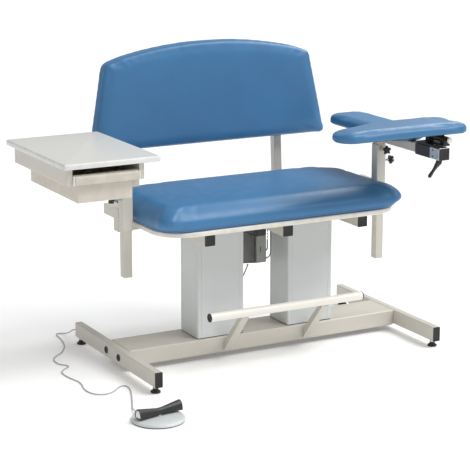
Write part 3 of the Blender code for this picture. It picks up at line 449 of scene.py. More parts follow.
def square_stack(shape, half_width, half_height, radius, profile, place):
    """Add a rectangular cap from (inset, height) pairs; its corners stay round as it narrows."""
    rings = []
    for distance, height in profile:
        x, y = half_width - distance, half_height - distance
        turn = max(radius - distance, 0.0008)
        rings.append([place @ Vector((*point, height)) for point in
                      rounded([(-x, -y, turn), (x, -y, turn), (x, y, turn), (-x, y, turn)], 4)])
    bridge(shape, rings)


def circle(radius, sides=32):
    """A circle's outline."""
    angles = [2 * pi * k / sides for k in range(sides)]
    return [Vector((radius * cos(angle), radius * sin(angle))) for angle in angles]


def hexagon(across, sides=24):
    """A hexagon's outline with points along its flats."""
    points = []
    for k in range(sides):
        angle = 2 * pi * k / sides
        off = (angle + pi / 6) % (pi / 3) - pi / 6
        reach = across / 2 / cos(off)
        points.append(Vector((reach * cos(angle), reach * sin(angle))))
    return points


def hex_bolt(shape, centre, axis, across):
    """Add a washer and a bolt head with chamfered corners."""
    turned(shape, [(across * 0.80, 0), (across * 0.85, across * 0.04), (across * 0.85, across * 0.10),
                   (across * 0.80, across * 0.14)], centre, axis, 32)
    stack(shape, hexagon(across), [(0, across * 0.14), (0, across * 0.50),
                                   (across * 0.06, across * 0.58)], facing_any(axis, centre))


def facing_any(axis, origin):
    """From a plane (x, y, z outwards) to a face that looks along any axis."""
    turn = Vector(axis).to_track_quat("Z", "Y").to_matrix().to_4x4()
    return Matrix.Translation(origin) @ turn


def threaded(shape, centre, axis, radius, length, pitch=0.0012):
    """Add a threaded rod."""
    profile = [(radius * 0.80, 0)]
    for k in range(int(length / pitch)):
        profile += [(radius, pitch * (k + 0.3)), (radius, pitch * (k + 0.5)),
                    (radius * 0.86, pitch * (k + 0.8))]
    turned(shape, profile + [(radius * 0.80, length)], centre, axis, 20)


def weld(shape, start, end, radius=0.0022):
    """Add a weld bead with its ripples along a joint."""
    start, end = Vector(start), Vector(end)
    count = max(6, int((end - start).length / 0.0012))
    points = [start.lerp(end, k / count) for k in range(count + 1)]
    radii = [radius * (0.35 if k in (0, count) else 0.92 + 0.13 * sin(k * 2.2)) for k in
             range(count + 1)]
    tube_along(shape, points, radii, 10)


def socket_screw(shape, centre, axis, radius, height):
    """Add a button-head screw with a hex recess."""
    profile = [(radius, 0), (radius, height * 0.3), (radius * 0.86, height * 0.75),
               (radius * 0.60, height), (radius * 0.42, height), (radius * 0.40, height * 0.4)]
    turned(shape, profile, centre, axis, 24)


# ================================================================ foot switch cord
CORD_DIAMETER = 0.0045
CORD_ROUTE = (                      # the CAD route, from the middle of the chair
    (-0.585, 0.3777, 0.0395), (-0.585, 0.390, 0.0393), (-0.5865, 0.410, 0.0330),
    (-0.589, 0.436, 0.0180),
    (-0.595, 0.462, 0.0070), (-0.606, 0.484, 0.0023), (-0.621, 0.486, 0.0023),
    (-0.630, 0.462, 0.0023), (-0.634, 0.420, 0.0023), (-0.647, 0.355, 0.0023),
    (-0.670, 0.298, 0.0023), (-0.702, 0.250, 0.0023), (-0.740, 0.214, 0.0023),
    (-0.762, 0.174, 0.0023), (-0.762, 0.126, 0.0023), (-0.744, 0.100, 0.0023),
    (-0.744, 0.079, 0.0023), (-0.764, 0.064, 0.0023), (-0.784, 0.042, 0.0023),
    (-0.794, 0.008, 0.0023), (-0.790, -0.044, 0.0023), (-0.780, -0.092, 0.0023),
    (-0.782, -0.130, 0.0023), (-0.792, -0.172, 0.0023), (-0.794, -0.214, 0.0023),
    (-0.782, -0.250, 0.0023), (-0.752, -0.269, 0.0023), (-0.716, -0.257, 0.0023),
    (-0.680, -0.224, 0.0023), (-0.657, -0.213, 0.0023), (-0.648, -0.234, 0.0023),
    (-0.661, -0.285, 0.0023), (-0.687, -0.350, 0.0023), (-0.711, -0.405, 0.0023),
    (-0.728, -0.443, 0.0028), (-0.7375, -0.470, 0.0058), (-0.7395, -0.4946, 0.0080),
)


def smooth_line(route, steps=6):
    """A smooth curve through the route's points."""
    route = [Vector(point) for point in route]
    padded = [route[0] * 2 - route[1]] + route + [route[-1] * 2 - route[-2]]
    fine = []
    for a, b, c, d in zip(padded, padded[1:], padded[2:], padded[3:]):
        for k in range(steps):
            t = k / steps
            fine.append(0.5 * (2 * b + (c - a) * t + (2 * a - 5 * b + 4 * c - d) * t * t
                               + (3 * b - a - 3 * c + d) * t ** 3))
    return fine + [route[-1]]


def length_of(points):
    """The length of a line of points."""
    return sum((second - first).length for first, second in zip(points, points[1:]))


def make_cord():
    line = bpy.data.curves.new("switch_cord", "CURVE")
    line.dimensions = "3D"
    line.bevel_depth = CORD_DIAMETER / 2
    line.bevel_resolution = 4
    line.use_fill_caps = True
    spline = line.splines.new("POLY")
    points = [CHAIR + point for point in smooth_line(CORD_ROUTE)]
    spline.points.add(len(points) - 1)
    for point, spot in zip(spline.points, points):
        point.co = (*spot, 1)
    line.materials.append(CORD_GREY)
    cord = linked("switch_cord", line)
    attach(cord, "base", ("foot_switch_cord",))

    low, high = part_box("cord_gland")
    centre = Vector(((low[0] + high[0]) / 2, low[1], (low[2] + high[2]) / 2))
    reach = high[1] - low[1]
    shape = bmesh.new()
    profile = [(0.0074, 0), (0.0075, 0.004), (0.0066, 0.006)]
    for k in range(5):                        # ribs of the tapered relief
        start = 0.006 + (reach - 0.008) * k / 5
        wide = 0.0056 - 0.0020 * k / 5
        rib = (reach - 0.008) / 5
        profile += [(wide, start), (wide, start + rib * 0.55), (wide - 0.0012, start + rib * 0.6),
                    (wide - 0.0012, start + rib * 0.95)]
    profile += [(0.0034, reach - 0.002), (0.0030, reach)]
    turned(shape, profile, centre, (0, 1, 0), 28)
    piece("cord_strain_relief", shape, BLACK_RUBBER, "base",
          replaces=("cord_gland",))


# ================================================================ upholstery
PRESSURE = 4.0
CLOTH_FRAMES = 20


def remeshed(shape, name, voxel):
    """The bmesh as an even mesh of small faces, ready for cloth."""
    mesh = bpy.data.meshes.new(name)
    bmesh.ops.recalc_face_normals(shape, faces=shape.faces)
    bmesh.ops.triangulate(shape, faces=[face for face in shape.faces if len(face.verts) > 4])
    shape.to_mesh(mesh)
    shape.free()
    rough = linked(name + "_start", mesh)
    step = rough.modifiers.new("Remesh", "REMESH")
    step.mode = "VOXEL"
    step.voxel_size = voxel
    smooth = rough.modifiers.new("Smooth", "SMOOTH")
    smooth.factor = 0.5
    smooth.iterations = 4
    ready = bpy.context.evaluated_depsgraph_get()
    even = bpy.data.meshes.new_from_object(rough.evaluated_get(ready))
    bpy.data.objects.remove(rough)
    return even


def puffed(mesh, name, cap, pinned_below):
    """Swell the mesh with cloth pressure; no point moves further than cap."""
    start = [vertex.co.copy() for vertex in mesh.vertices]
    pad = linked(name + "_cloth", mesh)
    held = pad.vertex_groups.new(name="held")
    held.add([v.index for v in mesh.vertices if v.co.z < pinned_below], 1.0, "REPLACE")
    cloth = pad.modifiers.new("Cloth", "CLOTH")
    settings = cloth.settings
    settings.use_pressure = True
    settings.uniform_pressure_force = PRESSURE
    settings.vertex_group_mass = "held"
    settings.effector_weights.gravity = 0
    settings.quality = 4
    scene = bpy.context.scene
    for step in range(1, CLOTH_FRAMES + 1):
        scene.frame_set(step)
    ready = bpy.context.evaluated_depsgraph_get()
    swollen = bpy.data.meshes.new_from_object(pad.evaluated_get(ready))
    bpy.data.objects.remove(pad)
    scene.frame_set(1)
    for vertex, before in zip(swollen.vertices, start):
        move = vertex.co - before
        if move.length > 1e-6:
            vertex.co = before + move * (cap * (1 - 2.718 ** (-move.length / cap)) / move.length)
    return swollen


PAD_POINTS = 240                    # points round each level of a pad's start shape
PAD_GROW = 0.003                    # what the last smoothing takes back off each side


def fitted(mesh, levels):
    """Stretch a puffed pad in plan back to its start shape's width and depth."""
    for axis in (0, 1):
        wanted = [point[axis] for outline, _ in levels for point in outline]
        found = [vertex.co[axis] for vertex in mesh.vertices]
        low, high = min(wanted) - PAD_GROW, max(wanted) + PAD_GROW
        scale = (high - low) / (max(found) - min(found))
        start = min(found)
        for vertex in mesh.vertices:
            vertex.co[axis] = low + (vertex.co[axis] - start) * scale


def make_pad(name, levels, cap, body, node, place, voxel=0.006):
    """A foam pad under vinyl. levels are (outline, height) pairs from its flat back, at z 0.

    The start shape stands inside the CAD solid, and the cloth pressure crowns its face and
    swells its sides.
    """
    shape = bmesh.new()
    bridge(shape, [[Vector((*point, height)) for point in resampled(outline, PAD_POINTS)]
                   for outline, height in levels])
    mesh = remeshed(shape, name, voxel)
    mesh = puffed(mesh, name, cap, 0.004)
    fitted(mesh, levels)
    mesh.transform(place)
    mesh.shade_smooth()
    mesh.materials.clear()
    mesh.materials.append(BLUE_VINYL)
    pad = linked(name, mesh)
    relax = pad.modifiers.new("Relax", "SMOOTH")
    relax.factor = 0.5
    relax.iterations = 5
    fine = pad.modifiers.new("Fine", "SUBSURF")
    fine.levels = 1
    fine.render_levels = 1
    attach(pad, body, (node,))
    return pad


def pad_levels(outline, thickness, edge, drop, bottom):
    """Levels of a pad: a small lower edge, upright sides and a wide rounded upper edge."""
    levels = [(inset(outline, distance), height)
              for distance, height in bullnose(0.0, thickness, bottom, 3)[:4]]
    for k in range(1, 8):
        angle = pi / 2 * k / 7
        levels.append((inset(outline, edge * (1 - cos(angle))),
                       thickness - drop + drop * sin(angle)))
    return levels


BACK_RECLINE = radians(3.5)
BACK_HALF_BOTTOM, BACK_HALF_TOP = 0.510, 0.445
BACK_SIDE_HEIGHT, BACK_ARCH = 0.338, 0.060
BACK_CUSHION, BACK_BOARD = 0.054, 0.012           # thicknesses
BACK_LOW_CORNER, BACK_TOP_CORNER = 0.020, 0.034   # corner radii
BACK_POST, BACK_POST_X, BACK_POST_LENGTH = 0.033, 0.320, 0.480
SEAT_TUCK_RADII = (0.105, 0.130)    # front and rear corners where the seat meets its board
SEAT_EDGE_WIDE, SEAT_EDGE_HIGH = 0.068, 0.054     # the seat's rounded top edge
ARM_PAD_EDGE, ARM_PAD_DROP = 0.022, 0.016         # the same, on the arm pads
PAD_HEADROOM = 0.006                # room that a start shape leaves for the swelling
SEAM_RADIUS = 0.0010


def plan(node, radii, side=0.0):
    """A CAD node's plan outline: its box with rounded corners, moved in by side."""
    (x0, y0, _), (x1, y1, _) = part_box(node)
    corners = [(x0 + side, y0 + side), (x1 - side, y0 + side), (x1 - side, y1 - side),
               (x0 + side, y1 - side)]
    return rounded([(*corner, radius) for corner, radius in zip(corners, radii)], 12)


def back_outline(side):
    """The backrest's outline from its lower edge: sides lean in, and the top is arched."""
    radius = (BACK_HALF_TOP ** 2 + BACK_ARCH ** 2) / (2 * BACK_ARCH)
    top = BACK_SIDE_HEIGHT - side
    low_x, top_x = BACK_HALF_BOTTOM - side, BACK_HALF_TOP - side
    peak = Vector((0, top + BACK_ARCH))
    corners = rounded([(-low_x, side, BACK_LOW_CORNER), (low_x, side, BACK_LOW_CORNER),
                       (top_x, top, BACK_TOP_CORNER), (*peak, 0), (-top_x, top, BACK_TOP_CORNER)],
                      8)
    split = corners.index(peak)
    arch = []
    for k in range(-12, 13):
        x = -k / 12 * top_x * 0.84
        arch.append(Vector((x, top - radius + BACK_ARCH + sqrt(radius ** 2 - x * x))))
    return corners[:split] + arch + corners[split + 1:]


def back_place(depth):
    """From the backrest's plane (x across, y up, z forwards) to the chair, at a depth behind
    its front face."""
    low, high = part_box("back_cushion")
    front_edge = Vector(((low[0] + high[0]) / 2, low[1], low[2] + BACK_CUSHION * sin(BACK_RECLINE)))
    turn = Matrix.Rotation(pi / 2 - BACK_RECLINE, 4, "X")
    return Matrix.Translation(front_edge) @ turn @ Matrix.Translation((0, 0, -depth))


def flip_outline(side):
    """The flip-up pad's outline; its inner end tapers."""
    corners = [(0.104, -0.446, 0.062), (0.648, -0.446, 0.036), (0.648, -0.243, 0.070),
               (0.335, -0.243, 0.280), (0.104, -0.338, 0.060)]
    return inset(rounded([(CHAIR.x + x, CHAIR.y + y, radius) for x, y, radius in corners], 12),
                 side)


def seam(name, pad, outline, height, place, body):
    """A sewn seam round a pad: an outline at a height, laid on the pad's surface."""
    ready = bpy.context.evaluated_depsgraph_get()
    skin = pad.evaluated_get(ready).to_mesh()
    tree = BVHTree.FromPolygons([vertex.co for vertex in skin.vertices],
                                [list(face.vertices) for face in skin.polygons])
    middle = sum(outline, Vector((0, 0))) / len(outline)
    points = []
    for spot in resampled(outline, 260):
        here = place @ Vector((*spot, height))
        surface = tree.find_nearest(here)[0]
        if surface is not None and (surface - here).length < 0.03:
            points.append(surface + (surface - place @ Vector((*middle, height))).normalized()
                          * 0.0001)
    shape = bmesh.new()
    rings = []
    count = len(points)
    for i, here in enumerate(points):
        ahead = points[(i + 1) % count] - points[i - 1]
        turn = ahead.to_track_quat("Z", "Y").to_matrix()
        lay = SEAM_RADIUS * (1.0 if i % 2 else 0.80)
        rings.append([here + turn @ Vector((*spot, 0)) for spot in circle(lay, 8)])
    bridge(shape, rings + rings[:1], capped=False)
    piece(name, shape, THREAD, body, 60)


def make_upholstery():
    low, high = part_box("seat_cushion")
    place = Matrix.Translation((0, 0, low[2]))
    thick = high[2] - low[2] - PAD_HEADROOM

    def seat_ring(side, front, rear):
        return plan("seat_cushion", [front, front, rear, rear], side)
    levels = [(seat_ring(0.024, *SEAT_TUCK_RADII), 0.0), (seat_ring(0.016, 0.108, 0.135), 0.003),
              (seat_ring(0.010, 0.095, 0.140), 0.011), (seat_ring(0.006, 0.065, 0.145), 0.019)]
    for k in range(1, 9):
        angle = pi / 2 * k / 8
        side = 0.005 + SEAT_EDGE_WIDE * (1 - cos(angle))
        levels.append((seat_ring(side, 0.052 - 0.2 * side, 0.148 - 0.6 * side),
                       thick - SEAT_EDGE_HIGH + SEAT_EDGE_HIGH * sin(angle)))
    pad = make_pad("seat_pad", levels, 0.011, "seat", "seat_cushion", place, 0.007)
    seam("seat_seam", pad, seat_ring(0.010, 0.095, 0.140), 0.010, place, "seat")

    rear = back_place(BACK_CUSHION)
    pad = make_pad("back_pad", pad_levels(back_outline(0.003), 0.050, 0.013, 0.011, 0.005), 0.007,
                   "seat", "back_cushion", rear, 0.006)
    seam("back_seam", pad, back_outline(0.0), 0.036, rear, "seat")
    seam("back_rear_seam", pad, back_outline(0.0), 0.006, rear, "seat")

    low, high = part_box("side_pad")
    end = (high[0] - low[0]) / 2 - 0.003
    for name, node, body, outline in (
            ("side_arm_pad", "side_pad", "right_arm", plan("side_pad", [end] * 4, 0.002)),
            ("flip_arm_pad", "flip_pad", "flip", flip_outline(0.002))):
        low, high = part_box(node)
        levels = pad_levels(outline, high[2] - low[2] - PAD_HEADROOM, ARM_PAD_EDGE, ARM_PAD_DROP,
                            0.005)
        make_pad(name, levels, 0.006, body, node, Matrix.Translation((0, 0, low[2] + 0.002)),
                 0.005)


# ================================================================ boards
def banded(made, top):
    """Give the faces of a board that look sideways a second material, its edge band."""
    made.data.materials.append(top)
    for face in made.data.polygons:
        if abs(face.normal.z) < 0.97:
            face.material_index = 1


def make_boards():
    low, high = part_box("seat_board")
    shape = bmesh.new()
    stack(shape, plan("seat_board", [0.125, 0.125, 0.145, 0.145]),
          bullnose(low[2], high[2], 0.005, 5))
    banded(piece("seat_base_board", shape, EDGE_BAND, "seat",
                 replaces=("seat_board",)), BOARD_EDGE)

    low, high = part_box("tray_top")
    shape = bmesh.new()
    edge = bullnose(low[2], high[2], 0.003, 3)[:4] + bullnose(low[2], high[2], 0.007, 6)[7:]
    stack(shape, plan("tray_top", [0.007] * 4), edge)
    banded(piece("tray_board", shape, TRAY_LAMINATE, "left_arm",
                 replaces=("tray_top",)), TRAY_EDGE)

    shape = bmesh.new()
    stack(shape, back_outline(0.008), bullnose(0, BACK_BOARD - GAP, 0.004, 4),
          back_place(BACK_CUSHION + BACK_BOARD))
    piece("back_panel", shape, BLUE_VINYL, "seat", replaces=("back_board",))
    shape = bmesh.new()
    for spot in resampled(back_outline(0.022), 84):
        turned(shape, [(0.0030, 0), (0.0028, 0.0008), (0.0018, 0.0016), (0.0004, 0.0019)],
               back_place(BACK_CUSHION + BACK_BOARD) @ Vector((*spot, 0.0002)),
               Matrix.Rotation(pi / 2 - BACK_RECLINE, 3, "X") @ Vector((0, 0, -1)), 12)
    piece("back_panel_tacks", shape, STEEL, "seat")

    for name, outline, node, body in (
            ("side_pad_backing", plan("side_pad", [0.075] * 4, 0.009), "side_pad", "right_arm"),
            ("flip_pad_backing", flip_outline(0.009), "flip_pad", "flip")):
        low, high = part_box(node)
        shape = bmesh.new()
        stack(shape, outline, bullnose(low[2], low[2] + 0.006, 0.0012, 3))
        piece(name, shape, BACKING, body)


# ================================================================ base
CAP_LIP = 0.0034                    # thickness of a tube cap outside its tube
CAP_PROFILE = [                     # (inset, height): plug, lip, rim and shallow recess
    (0.0038, -0.0125), (0.0036, -CAP_LIP), (0.0, -CAP_LIP), (0.0, -0.0010), (0.0004, -0.0003),
    (0.0012, 0.0), (0.0036, 0.0), (0.0046, -0.0007), (0.0066, -0.0009),
]
CAP_CORNER = 0.003
TUBE_CAPS = (("leg_cap_left", "base"), ("leg_cap_right", "base"), ("seat_tube_cap_left", "seat"),
             ("seat_tube_cap_middle", "seat"), ("seat_tube_cap_right", "seat"))


def make_plugs_and_caps():
    low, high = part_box("leg_left")
    shape = bmesh.new()
    for y in (-0.048, 0.060):
        turned(shape, [(0.0108, -0.004), (0.0108, 0.0), (0.0136, 0.0002), (0.0136, 0.0012),
                       (0.0126, 0.0028), (0.0106, 0.0037), (0.0084, 0.0038), (0.0070, 0.0030),
                       (0.0056, 0.0012), (0.0030, 0.0007), (0.0004, 0.0006)],
               (low[0], CHAIR.y + y, 0.0515), (-1, 0, 0), 36)
    piece("leg_hole_plugs", shape, BLACK_PLASTIC, "base")

    (x0, y0, z0), (x1, y1, z1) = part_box("footrest_bar")
    shape = bmesh.new()
    radius = (z1 - z0) / 2
    for x, way in ((x0, -1), (x1, 1)):
        turned(shape, [(radius * 0.93, 0.0002), (radius * 1.02, 0.0004), (radius * 1.03, 0.0022),
                       (radius * 0.97, 0.0040), (radius * 0.80, 0.0052), (radius * 0.72, 0.0050),
                       (radius * 0.66, 0.0040), (radius * 0.30, 0.0036), (0.0004, 0.0036)],
               (x, (y0 + y1) / 2, (z0 + z1) / 2), (way, 0, 0), 40)
    piece("footrest_end_caps", shape, BLACK_PLASTIC, "base")

    for node, body in TUBE_CAPS:
        low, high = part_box(node)
        width, height = (high[0] - low[0]) / 2, (high[2] - low[2]) / 2
        middle = Vector(((low[0] + high[0]) / 2, low[1], (low[2] + high[2]) / 2))
        shape = bmesh.new()
        square_stack(shape, width, height, CAP_CORNER, CAP_PROFILE, facing((0, -1, 0), middle))
        piece(node.replace("cap", "end_cap"), shape, BLACK_PLASTIC, body,
              replaces=(node,))


def make_feet():
    for end in ("front", "rear"):
        for side, _ in SIDES:
            node = "foot_" + end + "_" + side
            low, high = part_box(node)
            centre = Vector(((low[0] + high[0]) / 2, (low[1] + high[1]) / 2, 0))
            shape = bmesh.new()
            turned(shape, [(0.0168, 0), (0.0178, 0.0008), (0.0180, 0.0022), (0.0180, 0.0042),
                           (0.0174, 0.0060), (0.0155, 0.0076), (0.0128, 0.0088), (0.0112, 0.0102),
                           (0.0104, 0.0118), (0.0102, 0.0150), (0.0094, 0.0158)], centre,
                   (0, 0, 1), 40)
            piece(node + "_pad", shape, BLACK_PLASTIC, node, replaces=(node,))
            shape = bmesh.new()
            threaded(shape, centre + Vector((0, 0, 0.0156)), (0, 0, 1), 0.0048, 0.0200)
            piece(node + "_stud", shape, STEEL, node)
            shape = bmesh.new()
            collar(shape, hexagon(0.0165), circle(0.0049, 24), 0.0168, 0.0222,
                   Matrix.Translation(centre))
            piece(node + "_nut", shape, STEEL, node)


def make_welds():
    shape = bmesh.new()
    for side, _ in SIDES:
        low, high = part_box("footrest_brace_" + side)
        for x in (low[0] - 0.0004, high[0] + 0.0004):
            weld(shape, (x, high[1] - 0.0008, low[2] + 0.002), (x, high[1] - 0.0008, low[2] + 0.034))
        weld(shape, (low[0], high[1] - 0.0012, low[2] + 0.0355),
             (high[0], high[1] - 0.0012, low[2] + 0.0355))
        leg_low, leg_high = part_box("leg_" + side)
        channel_low, channel_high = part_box("base_channel")
        x = leg_high[0] if side == "left" else leg_low[0]
        for y in (channel_low[1], channel_high[1]):
            weld(shape, (x, y, channel_low[2] + 0.006), (x, y, channel_high[2] - 0.002))
    piece("base_welds", shape, FRAME_PAINT, "base")
    shape = bmesh.new()
    for side, sign in SIDES:
        low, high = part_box("arm_sleeve_" + side)
        y = CHAIR.y + 0.0235
        x = high[0] if sign > 0 else low[0]
        for edge in (x, x - sign * 0.040):
            weld(shape, (edge, y, 0.548), (edge, y, 0.582))
        weld(shape, (x - sign * 0.038, y, 0.5845), (x - sign * 0.002, y, 0.5845))
    piece("sleeve_welds", shape, FRAME_PAINT, "seat")


# ================================================================ columns and control box
COLUMN_CORNER, GROOVE_PLACE, GROOVE = 0.0065, 0.017, 0.0010


def grooved_outline(low, high):
    """A column's section: rounded corners with a fine groove on each side of each corner."""
    steps = 6
    corners = [(low[0], low[1]), (high[0], low[1]), (high[0], high[1]), (low[0], high[1])]
    points = rounded([(*corner, COLUMN_CORNER) for corner in corners], steps)
    arcs = [points[i * (steps + 1):(i + 1) * (steps + 1)] for i in range(4)]
    outline = []
    for i, arc in enumerate(arcs):
        start, end = arc[-1], arcs[(i + 1) % 4][0]
        ahead = (end - start).normalized()
        inward = Vector((-ahead.y, ahead.x))
        reach = GROOVE_PLACE - COLUMN_CORNER
        outline += arc
        for place in (reach, (end - start).length - reach):
            outline += [start + ahead * (place - GROOVE), start + ahead * place + inward * GROOVE,
                        start + ahead * (place + GROOVE)]
    return outline


def make_columns():
    for side, _ in SIDES:
        node = "column_cover_" + side
        low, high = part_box(node)
        outline = grooved_outline(low, high)
        shape = bmesh.new()
        hollow(shape, outline, low[2], high[2], 0.003, 0.0012)
        piece(node + "_profile", shape, COLUMN_PAINT, "seat", 25, (node,))
        # Painted shade: a black band fills the narrow gap under the cover's lower edge and stands in for
        # the shadow in that gap.
        shape = bmesh.new()
        outer = inset(outline, 0.0012)
        collar(shape, outer, inset(outer, 0.0065), 0.0812, low[2] - 0.0004)
        piece(node + "_gap_shade_band", shape, BLACK_RUBBER, "base")
    low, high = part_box("column_cover_left")
    shape = bmesh.new()
    socket_screw(shape, (high[0] - 0.0060, low[1] - 0.0002, low[2] + 0.005), (0, -1, 0), 0.0026,
                 0.0016)
    piece("column_cover_screw", shape, BLACK_PLASTIC, "seat")


BOX_REAR_DROP = 0.036               # how far the control box's underside falls to the rear


def make_control_box():
    (x0, y0, z0), (x1, y1, z1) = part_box("control_box")
    front_bottom = z0 + BOX_REAR_DROP
    shelf = z1 - 0.040                                  # the housing's top, under its bracket
    split = y0 + 0.012                                  # where the front end cover meets it
    side = along_x((x0, 0, 0))
    width = x1 - x0

    def fall(y):
        return front_bottom - BOX_REAR_DROP * (y - y0) / (y1 - y0)
    shape = bmesh.new()
    stack(shape, rounded([(split + GAP, fall(split), 0.002), (y1, z0, 0.008),
                          (y1, shelf, 0.008), (split + GAP, shelf, 0.002)], 5),
          bullnose(0, width, 0.0045, 5), side)
    stack(shape, rounded([(split + 0.010, fall(split) + 0.014, 0.004),
                          (y1 - 0.012, z0 + 0.014, 0.004), (y1 - 0.012, shelf - 0.012, 0.004),
                          (split + 0.010, shelf - 0.012, 0.004)], 4),
          bullnose(-0.0008, width + 0.0008, 0.0016, 3), side)
    piece("control_housing", shape, BOX_GREY, "seat", replaces=("control_box",))

    shape = bmesh.new()
    stack(shape, rounded([(y0, front_bottom, 0.004), (split - GAP, fall(split), 0.0015),
                          (split - GAP, shelf, 0.0015), (y0, shelf, 0.004)], 5),
          bullnose(0, width, 0.0035, 5), side)
    front = facing((0, -1, 0), ((x0 + x1) / 2, y0, 0))
    middle = (front_bottom + shelf) / 2
    frame_half, frame_height = 0.0125, 0.020
    ring = rounded([(-frame_half, middle - frame_height, 0.004), (frame_half, middle - frame_height,
                                                                  0.004),
                    (frame_half, middle + frame_height, 0.004), (-frame_half, middle + frame_height,
                                                                 0.004)], 4)
    collar(shape, ring, inset(ring, 0.0016), -0.0005, 0.0008, front)
    piece("control_front_cover", shape, BOX_END_GREY, "seat")

    shape = bmesh.new()
    # Painted shade: the slot is drawn as a black bar standing proud of the front cover; its black stands
    # in for the shade inside the opening.
    slot = rounded([(-0.0062, middle - 0.011, 0.0012), (-0.0034, middle - 0.011, 0.0012),
                    (-0.0034, middle + 0.011, 0.0012), (-0.0062, middle + 0.011, 0.0012)], 3)
    stack(shape, slot, bullnose(-0.0004, 0.0007, 0.0003, 2), front)
    for y, z in ((y0 + 0.045, shelf - 0.006), (y0 + 0.045, fall(y0 + 0.045) + 0.007)):
        socket_screw(shape, (x0 - 0.0002, y, z), (-1, 0, 0), 0.0030, 0.0014)
    piece("control_box_fixings", shape, BLACK_PLASTIC, "seat")

    shape = bmesh.new()
    block(shape, (x0 + 0.0005, y0 + 0.001, shelf + 0.0004), (x1 - 0.0005, y1 - 0.001, z1), 0.0015)
    for k in range(3):
        y = y0 + 0.020 + 0.036 * k
        block(shape, (x0 - 0.0004, y, shelf + 0.004), (x1 + 0.0004, y + 0.008, z1 - 0.003), 0.001)
    piece("control_box_bracket", shape, BLACK_PLASTIC, "seat")


LEAD_LEFT = (
    (-0.008, 0.0586, 0.3050), (-0.0090, 0.0586, 0.3000), (-0.0129, 0.0590, 0.2900),
    (-0.0182, 0.0600, 0.2780), (-0.0260, 0.0600, 0.2640), (-0.0400, 0.0580, 0.2510),
    (-0.0600, 0.0540, 0.2430), (-0.0800, 0.0500, 0.2410), (-0.0938, 0.0500, 0.2410),
)
LEAD_RIGHT = (
    (0.0217, -0.0286, 0.3465), (0.0270, -0.0286, 0.3465), (0.0335, -0.0286, 0.3490),
    (0.0390, -0.0286, 0.3545), (0.0420, -0.0286, 0.3630), (0.0428, -0.0286, 0.3750),
    (0.0424, -0.0286, 0.4200), (0.0424, -0.0280, 0.4520), (0.0470, -0.0240, 0.4730),
    (0.0570, -0.0160, 0.4850), (0.0730, -0.0110, 0.4910), (0.0938, -0.0100, 0.4920),
)
LEAD_SECOND = (
    (0.0217, -0.0240, 0.3740), (0.0252, -0.0240, 0.3745), (0.0284, -0.0250, 0.3775),
    (0.0300, -0.0262, 0.3840), (0.0302, -0.0270, 0.3960), (0.0302, -0.0270, 0.4600),
    (0.0300, -0.0262, 0.5000), (0.0300, -0.0260, 0.5165),
)


def make_leads():
    for name, routes, node in (("motor_cable_left", (LEAD_LEFT,), "motor_lead_left"),
                               ("motor_cable_right", (LEAD_RIGHT, LEAD_SECOND),
                                "motor_lead_right")):
        shape = bmesh.new()
        for route in routes:
            tube_along(shape, [CHAIR + point for point in smooth_line(route)], 0.0024, 14)
            start, ahead = (CHAIR + Vector(route[0]), CHAIR + Vector(route[1]))
            tube_along(shape, [start, start.lerp(ahead, 0.5), ahead],
                       [0.0042, 0.0038, 0.0028], 16)
        piece(name, shape, LEAD_GREY, "seat", replaces=(node,))


# ================================================================ foot switch
SWITCH = Vector((-0.701, -0.590, 0))
PEDAL_YAW = radians(9.3)
PEDAL_HALF, PEDAL_END, PEDAL_WAIST, PEDAL_RISE = 0.086, 0.0185, 0.0115, 1.75


def pedal_ring(x, radius, scale=1.0):
    """The saddle's D-shaped section at x: an arch over a flat foot with rounded corners."""
    ring = []
    for k in range(25):
        angle = pi * k / 24
        ring.append(Vector((x, -radius * scale * cos(angle),
                            0.0006 + radius * PEDAL_RISE * (sin(angle) ** 0.9 * scale
                                                            + (1 - scale) * 0.35))))
    ring += [Vector((x, radius * scale * (0.93 - 1.86 * k / 4), radius * PEDAL_RISE * (1 - scale)
                     * 0.35)) for k in range(5)]
    return ring


